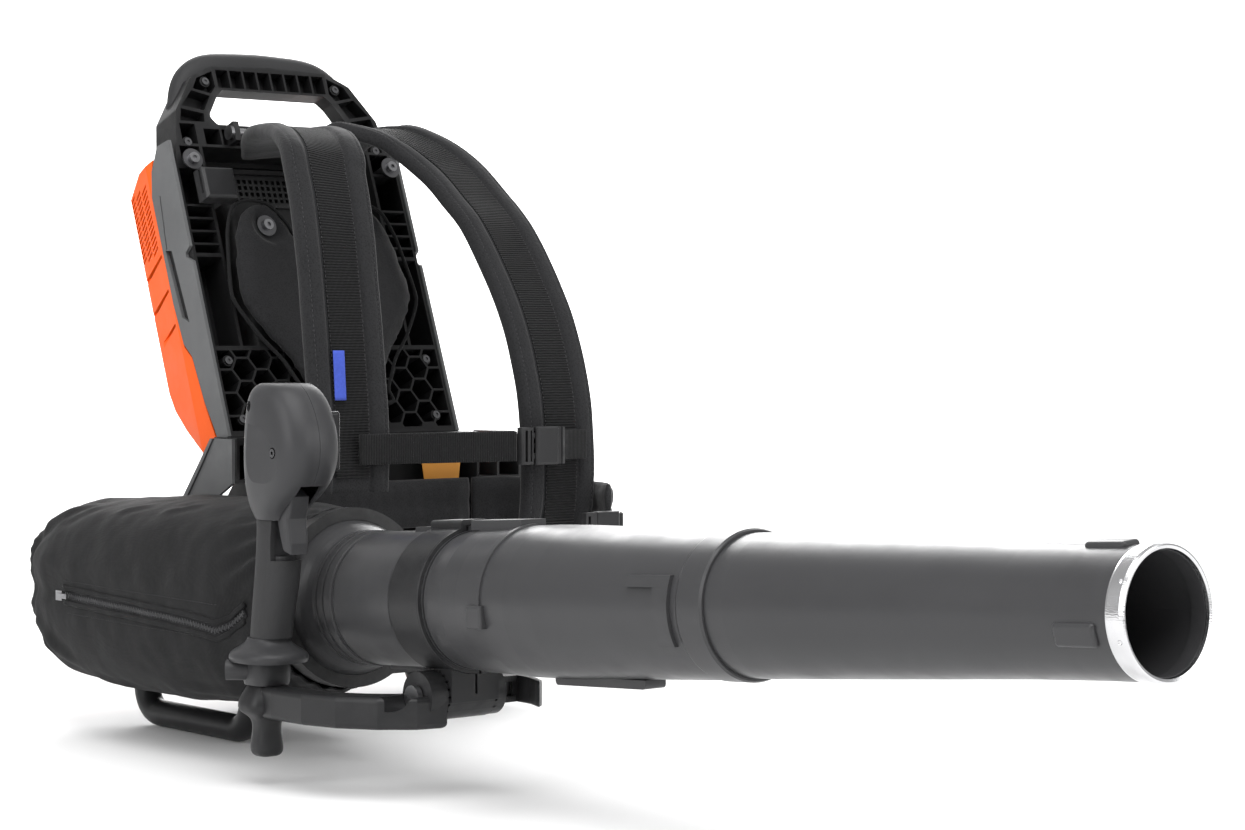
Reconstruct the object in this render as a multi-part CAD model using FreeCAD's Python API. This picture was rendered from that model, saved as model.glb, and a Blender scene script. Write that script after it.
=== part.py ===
import FreeCAD, Part
import math
import os
from FreeCAD import Vector

os.makedirs("parts", exist_ok=True)

# ---------------------------------------------------------------- driving dimensions (mm)
# Working axes: +X is the wearer's left, -Y is forward (where the tube blows), +Z is up.
ORIGIN = Vector(-58.9325, -436.7625, 0.0)   # centre of the footprint, taken off every piece at the end

# harness frame, leaning back
LEAN_DEG = 20.7
FRAME_FOOT_Z = 250.0                  # height of the frame's lower front edge line
HALF_W = 118.0                        # half width of the rails
FRAME_D = 36.0                        # depth of the moulding
WALL = 3.0
RIB = 2.0
HANDLE_TOP = 343.0                    # top of the carry handle, along the lean
OPEN_LOW = 284.0
OPEN_HIGH = 318.0
BAR_D = 15.5                          # depth of the thin bar round the carry handle's opening
CELL_D = 13.0                         # depth of the cells in that bar
PANEL_T = 3.0                         # thickness of the grey side panels
COVER_D = 104.0                       # depth of the rear cover
COVER_T = 3.0

# battery
BAT_W = 118.0
BAT_D = 52.0
BAT_H = 172.0
BAT_FRONT = 41.0
BAT_LOW = 86.0

# blower axis
TUBE_X = -180.0
TUBE_Y0 = -322.0                      # station 0, the last swivel groove
TUBE_Z0 = 135.0
TUBE_RISE_DEG = 3.49
TUBE_T = 2.2
BALL_S = -60.0                        # centre of the ball collar, along the axis
BALL_R = 60.0
FAN_R = 66.0
CONTROL_R = 49.8
NOZZLE_END = 732.0

# clamp and control handle
BOLT_Y = -408.0
BOLT_Z = 73.0
BLOCK_X0 = -202.0
BLOCK_X1 = -160.0
POST_X = -265.0
POST_Y = -285.0

# straps
STRAP_T = 15.0

SKID_R = 11.0

# four equal bolts hold the straps and the back pad: (x, height along the frame, washer seat)
BOLT_R = 2.75
HARNESS_BOLTS = [(-104.5, 246.0, -8.8), (104.5, 246.0, -8.8), (-48.0, 182.0, -15.8), (48.0, 182.0, -15.8)]


# ---------------------------------------------------------------- helpers
def box(x0, x1, y0, y1, z0, z1):
    return Part.makeBox(x1 - x0, y1 - y0, z1 - z0, Vector(x0, y0, z0))


def cyl(centre, axis, radius, length):
    return Part.makeCylinder(radius, length, Vector(*centre), Vector(*axis))


def prism(points, vector):
    """Straight prism: a flat outline of 3-D points pushed along a vector."""
    closed = [Vector(*p) for p in points] + [Vector(*points[0])]
    return Part.Face(Part.makePolygon(closed)).extrude(Vector(*vector))


def prism_yz(points, x0, x1):
    return prism([(x0, y, z) for y, z in points], (x1 - x0, 0, 0))


def prism_xz(points, y0, y1):
    return prism([(x, y0, z) for x, z in points], (0, y1 - y0, 0))


def prism_xy(points, z0, z1):
    return prism([(x, y, z0) for x, y in points], (0, 0, z1 - z0))


def turned(profile):
    """Solid of revolution about Z from (radius, height) points."""
    closed = [Vector(r, 0, h) for r, h in profile] + [Vector(profile[0][0], 0, profile[0][1])]
    return Part.Face(Part.makePolygon(closed)).revolve(Vector(0, 0, 0), Vector(0, 0, 1), 360)


def cut_all(shape, tools):
    tools = [t for t in tools if t is not None]
    return shape.cut(Part.makeCompound(tools)) if tools else shape


def fuse_all(shapes):
    first = shapes[0]
    if len(shapes) == 1:
        return first
    return first.multiFuse(shapes[1:]).removeSplitter()


def rounded(shape, radius, pick):
    """Fillet the edges for which pick(edge) is true, or leave the shape if they do not take it."""
    edges = [e for e in shape.Edges if pick(e)]
    if not edges:
        return shape
    try:
        result = shape.makeFillet(radius, edges)
    except Exception:
        return shape
    return result if result.isValid() and result.Volume > 0.5 * shape.Volume else shape


def along(edge, axis):
    """True for a straight edge that runs along the given axis."""
    if edge.Curve.TypeId != "Part::GeomLine":
        return False
    a, b = edge.Vertexes[0].Point, edge.Vertexes[-1].Point
    return (b - a).normalize().cross(Vector(*axis)).Length < 0.01


def rounded_rect_wire(cx, cz, y, width, height, power=3.2, count=28):
    """A soft rounded rectangle (superellipse) in an X-Z plane, as a closed smooth wire."""
    points = []
    for i in range(count):
        a = 2 * math.pi * i / count
        c, s = math.cos(a), math.sin(a)
        points.append(Vector(cx + width / 2 * math.copysign(abs(c) ** (2 / power), c), y,
                             cz + height / 2 * math.copysign(abs(s) ** (2 / power), s)))
    curve = Part.BSplineCurve()
    curve.interpolate(points, PeriodicFlag=True)
    return Part.Wire([curve.toShape()])


def tube_path(points, radius, bend):
    """Round bar swept along straight runs joined by arcs of one bend radius."""
    pts = [Vector(*p) for p in points]
    edges = []
    start = pts[0]
    for i in range(1, len(pts) - 1):
        a = (pts[i - 1] - pts[i]).normalize()
        b = (pts[i + 1] - pts[i]).normalize()
        half = a.getAngle(b) / 2
        back = bend / math.tan(half)
        p1 = pts[i] + a * back
        p2 = pts[i] + b * back
        mid_dir = (a + b).normalize()
        centre = pts[i] + mid_dir * (bend / math.sin(half))
        middle = centre - mid_dir * bend
        edges.append(Part.LineSegment(start, p1).toShape())
        edges.append(Part.Arc(p1, middle, p2).toShape())
        start = p2
    edges.append(Part.LineSegment(start, pts[-1]).toShape())
    wire = Part.Wire(edges)
    tangent = (pts[1] - pts[0]).normalize()
    ring = Part.Wire([Part.makeCircle(radius, pts[0], tangent)])
    return wire.makePipeShell([ring], True, False)


def lean(shape):
    """Frame axes (x, depth to the back, height along the frame) to working axes."""
    moved = shape.copy()
    moved.rotate(Vector(0, 0, 0), Vector(1, 0, 0), -LEAN_DEG)
    moved.translate(Vector(0, 0, FRAME_FOOT_Z))
    return moved


def on_tube(shape):
    """Tube axes (x across, y up, z forward along the tube) to working axes."""
    moved = shape.copy()
    moved.rotate(Vector(0, 0, 0), Vector(1, 0, 0), 90.0 - TUBE_RISE_DEG)
    moved.translate(Vector(TUBE_X, TUBE_Y0, TUBE_Z0))
    return moved


def spun(shape, count, axis=(0, 0, 1)):
    """The shape repeated evenly round an axis through the origin."""
    copies = []
    for i in range(count):
        one = shape.copy()
        one.rotate(Vector(0, 0, 0), Vector(*axis), 360.0 * i / count)
        copies.append(one)
    return copies


NODES = {}


def put(name, shape):
    NODES[name] = shape


# ---------------------------------------------------------------- harness frame
def hexagon(cx, cz, across, y0, y1):
    r = across / math.sqrt(3)
    points = [(cx + r * math.cos(math.radians(60 * k)), cz + r * math.sin(math.radians(60 * k)))
              for k in range(6)]
    return prism_xz(points, y0, y1)


def frame_outline(inset):
    """Front outline of the frame: straight rails that close in to the carry handle."""
    i = inset
    side = [(HALF_W - i, -6 + i), (HALF_W - i, 238.0), (106.0 - i, 296 - 0.3 * i),
            (84.0 - 0.7 * i, 329 - 0.7 * i), (62.0 - 0.3 * i, 340.5 - i)]
    return side + [(0.0, HANDLE_TOP - i)] + [(-x, z) for x, z in reversed(side)]


def handle_opening(grow):
    g = grow
    return [(66 + g, OPEN_LOW - g), (73 + g, OPEN_LOW + 8), (61 + g, OPEN_HIGH - 7 + g),
            (54 + g, OPEN_HIGH + g), (-54 - g, OPEN_HIGH + g), (-61 - g, OPEN_HIGH - 7 + g),
            (-73 - g, OPEN_LOW + 8), (-66 - g, OPEN_LOW - g)]


def handle_relief():
    """Wider opening behind the thin bar; its foot stays above the lower bar's cells."""
    half = [(80, OPEN_LOW + 1), (90, OPEN_LOW + 9), (78, OPEN_HIGH + 4), (66, 334.0)]
    return half + [(-x, z) for x, z in reversed(half)]


def frame_pockets():
    """Front pockets between the ribs; what stays between them is the ribbing."""
    deep = FRAME_D - 4.0
    front = -1.0
    tools = []
    # carry handle: a row of cells over the opening
    cells = 8
    step = 116.0 / cells
    for k in range(cells):
        x0 = -58.0 + k * step
        tools.append(prism_xz([(x0 + RIB / 2, OPEN_HIGH + 2.4), (x0 + step - RIB / 2, OPEN_HIGH + 2.4),
                               (x0 + step - RIB / 2, 337.6), (x0 + RIB / 2, 337.6)], front, CELL_D))
    for side in (-1, 1):
        # upper corners, split by two slanted ribs
        tools.append(prism_xz([(side * 60.5, 321), (side * 66, 314), (side * 84, 318),
                               (side * 78, 328.5), (side * 61, 336)], front, CELL_D))
        tools.append(prism_xz([(side * 68, 311.5), (side * 77, 297), (side * 99, 301),
                               (side * 86, 316)], front, CELL_D))
        tools.append(prism_xz([(side * 78, 294), (side * 79, 286), (side * 103.5, 286),
                               (side * 100.5, 298)], front, CELL_D))
        # rails: long cells and short cells, between an outer and an inner wall
        for low, high in ((264.5, 283.5), (243, 262), (207, 240.5), (195, 205), (183, 193),
                          (171, 181), (161.5, 169), (76, 158)):
            outer = HALF_W - WALL if high < 245 else HALF_W - WALL - 0.21 * (high - 238)
            tools.append(prism_xz([(side * 90, low), (side * outer, low),
                                   (side * outer, high), (side * 90, high)], front, deep))
    # bar below the opening: small cells
    for k in range(9):
        x0 = -88 + 6.2 + k * 18.4
        if abs(x0 + 8) < 82:
            tools.append(box(x0, x0 + 16.2, front, deep - 10, 264.5, 279.5))
    # middle recess that the housing looks through, and the window in its back wall
    tools.append(box(-87, 87, front, deep, 76, 262))
    tools.append(box(-68.5, 68.5, deep - 1, FRAME_D + 1, 78, 258))
    # honeycomb at the foot
    across = 19.0
    pitch = across + RIB
    row = pitch * math.sqrt(3) / 2
    keep = prism_xz([(-HALF_W + WALL, -1), (HALF_W - WALL, -1), (HALF_W - WALL, 72),
                     (-HALF_W + WALL, 72)], front, deep)
    cells = []
    for i in range(-7, 8):
        for j in range(0, 5):
            x = i * row
            z = 2 + j * pitch + (pitch / 2 if i % 2 else 0)
            cells.append(hexagon(x, z, across, front, deep))
    honey = Part.makeCompound(cells).common(keep)
    tools += honey.Solids
    return tools


def boss_places():
    """Screw bosses of the frame, as (x, height along the frame)."""
    pairs = [(69.0, 326.0), (99.5, 266.5), (104.0, 63.0), (101.5, 10.0)]
    return [(s * x, z) for x, z in pairs for s in (-1, 1)]


def build_frame():
    body = prism_xz(frame_outline(0.0), 0, FRAME_D)
    body = rounded(body, 6.0, lambda e: along(e, (0, 1, 0)) and abs(e.Vertexes[0].Point.x) > 50
                   and e.Vertexes[0].Point.z > 200)
    opening = rounded(prism_xz(handle_opening(0.0), -1, FRAME_D + 1), 5.0,
                      lambda e: along(e, (0, 1, 0)))
    # the bar round the opening is thin, so the back is cut away wider than the opening
    relief = prism_xz(handle_relief(), BAR_D, FRAME_D + 1)
    body = cut_all(body, [opening, relief])
    body = cut_all(body, frame_pockets())
    # screw bosses, strap bosses that reach forward, and the hooks for the strap bar
    bosses = [cyl((x, 2.0, z), (0, 1, 0), 5.0, (BAR_D if z > 300 else FRAME_D - 3) - 2.0)
              for x, z in boss_places()]
    strap_bosses = [cyl((x, seat + 1.65, z), (0, 1, 0), 5.5, FRAME_D - 4 - seat)
                    for x, z, seat in HARNESS_BOLTS if abs(x) > 100]
    hooks = [box(x - 3, x + 3, -13.0, 6.0, 264, 282) for x in (-56.0, 56.0)]
    body = fuse_all([body] + bosses + strap_bosses + hooks)
    holes = [cyl((x, 1.9, z), (0, 1, 0), 1.95, FRAME_D) for x, z in boss_places()]
    holes += [cyl((x, -1, z), (0, 1, 0), 3.9, 3.0) for x, z in boss_places()]
    holes += [cyl((x, seat, z), (0, 1, 0), BOLT_R + 0.05, 44.0)
              for x, z, seat in HARNESS_BOLTS if abs(x) > 100]
    holes += [cyl((-60, -8.0, 273), (1, 0, 0), 4.0, 120)]
    return cut_all(body, holes)


def build_side_panel(side):
    """Grey outer skin on a rail, with a long slanted webbing slot and a fine groove."""
    edge = [(-1.5, -6), (15, -6), (17, 6), (24, 34), (29, 77), (38, 92), (41.5, 130),
            (41.5, 230), (34, 251), (18, 268), (-1.5, 266)]
    x0, x1 = (HALF_W + 0.2, HALF_W + 0.2 + PANEL_T)
    if side < 0:
        x0, x1 = -x1, -x0
    plate = prism_yz(edge, x0, x1)
    slot = prism_yz([(27.5, 174), (37.0, 178), (32.0, 114), (22.5, 106)], x0 - 1, x1 + 1)
    plate = plate.cut(slot)
    face = x1 if side > 0 else x0
    depth = -side * 1.0
    groove = prism_yz([(27.6, 226), (29.2, 226), (35.4, 178), (33.8, 178)], face + side, face + depth)
    step = prism_yz([(-3, 152), (7, 160), (7, 163.5), (-3, 168)], x0 - 1, x1 + 1)
    plate = cut_all(plate, [groove, step])
    return plate


def build_carry_grip():
    """Rounded overmould behind and over the carry handle, arched along its length."""
    def section(x, low, high, front, back):
        mid_y = (front + back) / 2
        mid_z = (low + high) / 2
        half_y = (back - front) / 2
        half_z = (high - low) / 2
        points = []
        for k in range(16):
            a = 2 * math.pi * k / 16
            c, s = math.cos(a), math.sin(a)
            points.append(Vector(x, mid_y + half_y * math.copysign(abs(c) ** 0.8, c),
                                 mid_z + half_z * math.copysign(abs(s) ** 0.8, s)))
        curve = Part.BSplineCurve()
        curve.interpolate(points, PeriodicFlag=True)
        return Part.Wire([curve.toShape()])
    stations = []
    for x in (-98, -92, -82, -62, -32, 0, 32, 62, 82, 92, 98):
        t = abs(x) / 98.0
        top = 365.0 - 11.0 * t ** 2 - 42.0 * t ** 7
        low = top - 36.0 + 14.0 * t ** 6
        front = 8.0 + 10.0 * t ** 6
        back = 40.2 - 12.0 * t ** 3
        stations.append(section(x, low, top, front, back))
    grip = Part.makeLoft(stations, True, False)
    frame_space = prism_xz([(x, z) for x, z in frame_outline(-0.25)], -5, FRAME_D + 0.25)
    hand_gap = prism_xz(handle_opening(1.0), -5, 90)
    relief = prism_xz([(x, z + 0.3) for x, z in handle_relief()], BAR_D, 90)
    shape = cut_all(grip, [frame_space, hand_gap])
    kept = shape.cut(relief.common(box(-95, 95, 0, 90, 200, 331)))
    return sorted(kept.Solids, key=lambda s: s.Volume)[-1]


def cover_profile(t):
    """Side outline of the rear cover (depth, height), pulled in by t at the back."""
    return [(19.5 + 0.0 * t, -5 + t), (27 + 0.0 * t, 34), (32, 77), (40.5, 90), (44, 130),
            (44, 231), (36.5, 252.5), (31, 261 - t), (62, 261 - t), (96 - 0.6 * t, 247 - t),
            (COVER_D - t, 226 - 0.4 * t), (COVER_D - t, 150), (101 - t, 108),
            (96 - t, 78 + 0.3 * t), (86 - 0.8 * t, 47 + 0.6 * t), (70 - 0.6 * t, 24 + 0.8 * t),
            (42, -8 + t), (26, -8 + t)]


def cover_block(t):
    side = prism_yz(cover_profile(t), -125, 125)
    half = [(119.5 - t, -10), (119.5 - t, 45), (111 - t, 92), (100 - 0.6 * t, COVER_D + 2)]
    plan = prism_xy(half + [(-x, y) for x, y in reversed(half)], -30, 300)
    return side.common(plan)


def cover_louvres(side):
    """Three columns of slanted louvre slots through one flank."""
    slots = []
    for col in range(3):
        y0 = 52.0 + col * 15.0
        for k in range(13):
            z0 = 187.0 + k * 4.8 + col * 1.0
            slot = prism_yz([(y0, z0), (y0 + 12.5, z0 - 4.2), (y0 + 12.5, z0 - 1.7), (y0, z0 + 2.5)],
                            side * 95.0, side * 126.0)
            slots.append(slot)
    return slots


def build_rear_cover():
    outer = cover_block(0.0)
    outer = rounded(outer, 7.0, lambda e: abs(e.CenterOfMass.x) > 97 and e.CenterOfMass.y > COVER_D - 8
                    and e.BoundBox.XLength < 1.5)
    inner = cover_block(COVER_T)
    front = cover_block(COVER_T)
    front.translate(Vector(0, -8, 0))
    shell = cut_all(outer, [inner, front])
    tools = cover_louvres(1) + cover_louvres(-1)
    # slanted creases that split the lower flanks into stepped blocks
    for z in (166.0, 134.0, 102.0):
        for side in (-1, 1):
            crease = prism_yz([(48, z + 10), (48, z + 13.0), (112, z + 3), (112, z - 2.5)],
                              side * (108.6 if z > 110 else 112.6), side * 125.0)
            tools.append(crease)
        tools.append(prism_yz([(COVER_D - 1.6, z), (COVER_D - 1.6, z + 1), (COVER_D + 4, z + 5),
                               (COVER_D + 4, z - 2)], -125, 125))
    # opening in the top for the battery
    tools.append(box(-66.4, 66.4, 11.6, 96.4, 224, 290))
    tools.append(prism_xz(frame_outline(-0.3), -5, FRAME_D + 0.3))
    shell = cut_all(shell, tools)
    solids = sorted(shell.Solids, key=lambda s: s.Volume)
    return solids[-1]


def build_rear_panel():
    """Black centre panel down the back of the cover."""
    outer = [(COVER_D + 0.3, 222), (COVER_D + 3.3, 218), (COVER_D + 3.3, 150), (104.3, 107.4),
             (99.2, 76.6), (88.9, 44.8), (72.6, 21.2), (53.3, -0.8), (51.0, 1.2), (70.3, 23.3),
             (86.3, 46.6), (96.3, 77.7), (101.3, 107.8), (COVER_D + 0.3, 150)]
    panel = prism_yz(outer, -74, 74)
    grooves = [prism_yz([(COVER_D + 2.3, z), (COVER_D + 2.3, z + 2), (COVER_D + 5, z + 2),
                         (COVER_D + 5, z)], -56, 56) for z in range(160, 212, 8)]
    return cut_all(panel, grooves)


def build_battery_housing():
    """Box behind the frame: controller space in front, battery bay open at the top."""
    shell = box(-66, 66, 12, 96, 80, 256)
    shell = rounded(shell, 10.0, lambda e: along(e, (0, 0, 1)) and e.CenterOfMass.y < 20)
    bay = box(-60.5, 60.5, BAT_FRONT - 1.5, BAT_FRONT + BAT_D + 1.5, BAT_LOW - 2, 300)
    front_room = box(-62, 62, 15, 37, 83, 212)
    # stepped lip down the front face
    lip = prism_xz([(-30, 214), (60, 214), (60, 120), (56, 120), (56, 210), (-30, 210)], 9.5, 12.5)
    shell = cut_all(shell, [bay, front_room, box(-70, 70, 5, 32, 216, 262)])
    vents = [box(-52 + k * 6.0, -48.4 + k * 6.0, 10, 40, 220 + j * 6, 224 + j * 6)
             for k in range(18) for j in range(5)]
    shell = cut_all(shell, [box(-62, 62, 30, 36, 219, 252)])
    shell = cut_all(shell, vents)
    terminals = [box(x - 4, x + 4, 60, 74, 80, BAT_LOW - 1.9) for x in (-26, -9, 9, 26)]
    shell = cut_all(shell, terminals)
    # the foot of the back wall is chamfered to follow the rear cover
    shell = shell.cut(prism_yz([(92.0, 76), (96.1, 102), (100, 102), (100, 76)], -70, 70))
    # sockets for the two bolts of the back pad
    sockets = [cyl((s * 48.0, -4.5, 182), (0, 1, 0), 6.0, 25.5) for s in (-1, 1)]
    shell = fuse_all([shell, lip] + sockets)
    return cut_all(shell, [cyl((s * 48.0, -6, 182), (0, 1, 0), BOLT_R + 0.05, 25.0) for s in (-1, 1)])


def build_battery():
    body = box(-BAT_W / 2, BAT_W / 2, BAT_FRONT, BAT_FRONT + BAT_D, BAT_LOW, BAT_LOW + BAT_H)
    body = rounded(body, 6.0, lambda e: along(e, (0, 0, 1)))
    head = box(-BAT_W / 2 + 1, BAT_W / 2 - 1, BAT_FRONT + 1, BAT_FRONT + BAT_D - 1,
               BAT_LOW + BAT_H, BAT_LOW + BAT_H + 14)
    head = rounded(head, 5.0, lambda e: not along(e, (1, 0, 0)) or e.CenterOfMass.z > BAT_LOW + BAT_H + 5)
    grip = box(-42, 42, BAT_FRONT + 14, BAT_FRONT + BAT_D - 14, BAT_LOW + BAT_H + 1, BAT_LOW + BAT_H + 20)
    body = fuse_all([body, head]).cut(grip)
    handle_bar = box(-43, 43, BAT_FRONT + 22, BAT_FRONT + BAT_D - 22, BAT_LOW + BAT_H + 7,
                     BAT_LOW + BAT_H + 13)
    flutes = [box(-BAT_W / 2 - 1, -BAT_W / 2 + 1.2, BAT_FRONT + 10 + k * 7, BAT_FRONT + 13 + k * 7,
                  BAT_LOW + 10, BAT_LOW + 150) for k in range(5)]
    slots = [box(x - 4.4, x + 4.4, 59, 75, BAT_LOW - 1, BAT_LOW + 8.6) for x in (-26, -9, 9, 26)]
    latch_seat = box(-13, 13, BAT_FRONT + BAT_D - 9, BAT_FRONT + BAT_D + 1, BAT_LOW + BAT_H - 26,
                     BAT_LOW + BAT_H + 16)
    body = fuse_all([body, handle_bar])
    return cut_all(body, flutes + slots + [latch_seat])


def build_battery_latch():
    """Spring catch in the battery's head, pressed towards its front."""
    z0 = BAT_LOW + BAT_H
    y1 = BAT_FRONT + BAT_D
    button = box(-12, 12, y1 - 7.5, y1 - 1.5, z0 - 20, z0 + 13)
    button = rounded(button, 1.5, lambda e: e.CenterOfMass.y > y1 - 2)
    ribs = [box(-9, 9, y1 - 2, y1 - 0.9, z0 + 1 + 3 * k, z0 + 2.4 + 3 * k) for k in range(4)]
    return fuse_all([button] + ribs)


def frame_nodes():
    put("back_frame", lean(build_frame()))
    put("side_panel_left", lean(build_side_panel(1)))
    put("side_panel_right", lean(build_side_panel(-1)))
    put("carry_grip", lean(build_carry_grip()))
    put("rear_cover", lean(build_rear_cover()))
    put("rear_centre_panel", lean(build_rear_panel()))
    put("battery_housing", lean(build_battery_housing()))
    put("battery_pack", lean(build_battery()))
    put("battery_latch", lean(build_battery_latch()))
    put("battery_terminals", lean(Part.makeCompound(
        [fuse_all([box(x - 0.6, x + 0.6, 61, 73, 80, BAT_LOW + 6),
                   box(x - 3.95, x + 3.95, 60.05, 73.95, 76, BAT_LOW - 2.5)]) for x in (-26, -9, 9, 26)])))
    board = box(-56, 56, 22, 23.6, 90, 205)
    chips = [box(x, x + 12, 18.5, 21.9, z, z + 10) for x in (-30, -6, 18) for z in (110, 160)]
    put("controller_board", lean(fuse_all([board, box(-50, -49, 21.8, 22.2, 100, 101)] + [
        c.fuse(box(c.BoundBox.XMin + 2, c.BoundBox.XMax - 2, 21.5, 22.5, c.BoundBox.ZMin + 2,
                   c.BoundBox.ZMax - 2)) for c in chips])))
    fins = [box(-45 + 9 * k, -43 + 9 * k, 26, 35.5, 100, 195) for k in range(11)]
    put("heat_sink", lean(fuse_all([box(-48, 50, 23.8, 26.5, 98, 197)] + fins)))
    screws = []
    for x, z in boss_places():
        if z < 300:
            screws.append(fuse_all([cyl((x, 0.4, z), (0, 1, 0), 3.6, 1.55),
                                    cyl((x, 1.8, z), (0, 1, 0), 1.9, 30)]).cut(
                cyl((x, 0, z), (0, 1, 0), 1.6, 1.4)))
        else:
            screws.append(fuse_all([cyl((x, 0.4, z), (0, 1, 0), 3.4, 1.55),
                                    cyl((x, 1.8, z), (0, 1, 0), 1.9, 12)]).cut(
                cyl((x, 0, z), (0, 1, 0), 1.5, 1.4)))
    put("frame_screws", lean(Part.makeCompound(screws)))
    bar = cyl((-59.5, -8.0, 273), (1, 0, 0), 3.95, 119)
    ends = [cyl((x, -8.0, 273), (1, 0, 0), 6.5, 3) for x in (-62.4, 59.4)]
    put("strap_bar", lean(fuse_all([bar] + ends)))
    bolts = []
    washers = []
    for x, z, seat in HARNESS_BOLTS:
        shank = cyl((x, seat - 0.2, z), (0, 1, 0), BOLT_R, 30.0)
        head = cyl((x, seat - 3.7, z), (0, 1, 0), 4.8, 3.6)
        bolts.append(fuse_all([shank, head]).cut(cyl((x, seat - 4, z), (0, 1, 0), 2.1, 2.6)))
        washers.append(cyl((x, seat, z), (0, 1, 0), 9.6, 1.6).cut(
            cyl((x, seat - 1, z), (0, 1, 0), BOLT_R + 0.15, 4)))
    put("harness_bolts", lean(Part.makeCompound(bolts)))
    put("harness_washers", lean(Part.makeCompound(washers)))


# ---------------------------------------------------------------- base
def build_base():
    """Foot moulding: wide shoulder on the wearer's left, cut away for the fan on the right."""
    side = [(-24, 244), (11, 244), (30, 222), (62, 186), (104, 132), (108, 34), (-24, 34)]
    right = [(-126, 244), (124, 249), (154, 249), (170, 243), (176, 231), (176, 150), (158, 34),
             (-84, 34), (-84, 206), (-126, 206)]
    body = prism_yz(side, -130, 180).common(prism_xz(right, -40, 130))
    frame_space = lean(box(-122, 122, -2.0, 60, -6.3, 60))
    body = body.cut(frame_space)
    tools = []
    # open cells in the front of the shoulder and under the frame
    for x0, x1, z0, z1 in ((128, 148, 204, 244.5), (150.5, 172.5, 204, 238), (128, 148, 152, 201.5),
                           (150.5, 172.5, 160, 201.5), (104, 125.5, 152, 238)):
        tools.append(box(x0, x1, -30, 26, z0, z1))
    for x0, x1 in ((-123, -106), (-103.5, -88)):
        tools.append(box(x0, x1, -30, 4, 209, 238))
    # inner room
    room = prism_yz([(-18, 38), (102, 38), (98, 128), (58, 180), (34, 200), (30, 148), (-18, 148)],
                    -81, 150)
    tools.append(room)
    tools.append(box(-70, 100, -30, -8, 158, 236))
    body = cut_all(body, tools)
    sockets = [cyl((120, y, 30), (0, 0, 1), 15.0, 22) for y in (-8, 64)]
    body = fuse_all([body] + [s.common(box(60, 180, -24, 108, 34, 60)) for s in sockets])
    holes = [cyl((120, y, 20), (0, 0, 1), SKID_R + 0.05, 28) for y in (-8, 64)]
    body = cut_all(body, holes)
    return rounded(body, 7.0, lambda e: along(e, (1, 0, 0)) and e.CenterOfMass.y > 98 and e.Length > 200)


def base_nodes():
    put("base_shell", build_base())
    # lining that closes the left flank, with a raised double rim
    flank = prism_yz([(-22, 243), (10, 243), (29, 221), (60, 185.6), (78, 164), (72, 158), (-22, 206)],
                     -129.4, -126.3)
    rim = prism_yz([(6, 243), (10, 243), (29, 221), (60, 185.6), (78, 164), (74.5, 161),
                    (57, 182), (26, 218)], -131.0, -129.3)
    put("base_flank_panel", fuse_all([flank, rim]))
    # skids: two bent round bars, one under the fan and a short one under the shoulder
    x = TUBE_X + 15
    right = tube_path([(x, 57, 49.9), (x, 57, SKID_R), (x, -108, SKID_R), (x, -108, 49.9)], SKID_R, 22.0)
    left = tube_path([(120, 64, 47.5), (120, 64, SKID_R), (120, -8, SKID_R), (120, -8, 47.5)],
                     SKID_R, 22.0)
    put("skid_bars", Part.makeCompound([right, left]))
    # cradle: a shelf on the base that carries the fan in two saddles
    plate = box(-214, -84.2, -160, 78, 50, 55)
    saddles = [box(-224, -136, y, y + 12, 54.5, 92) for y in (-148, -100)]
    web = box(-92, -84.2, -18, 78, 54.5, 110)
    cradle = fuse_all([plate, web] + saddles)
    fan_space = [on_tube(cyl((0, 0, -300), (0, 0, 1), FAN_R + 0.1, 400)),
                 on_tube(cyl((0, 0, -266), (0, 0, 1), FAN_R + 4.5, 20)),
                 on_tube(cyl((0, 0, -160), (0, 0, 1), FAN_R + 4.5, 14))]
    places = [(y, z) for y in (0, 60) for z in (70, 96)]
    holes = [cyl((-93, y, z), (1, 0, 0), 2.6, 14) for y, z in places]
    put("fan_cradle", cut_all(cradle, fan_space + holes))
    NODES["base_shell"] = cut_all(NODES["base_shell"], holes)
    screws = [fuse_all([cyl((-80.9, y, z), (1, 0, 0), 4.5, 3), cyl((-92, y, z), (1, 0, 0), 2.5, 12)])
              for y, z in places]
    NODES["frame_screws"] = Part.makeCompound(NODES["frame_screws"].Solids + screws)


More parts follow.
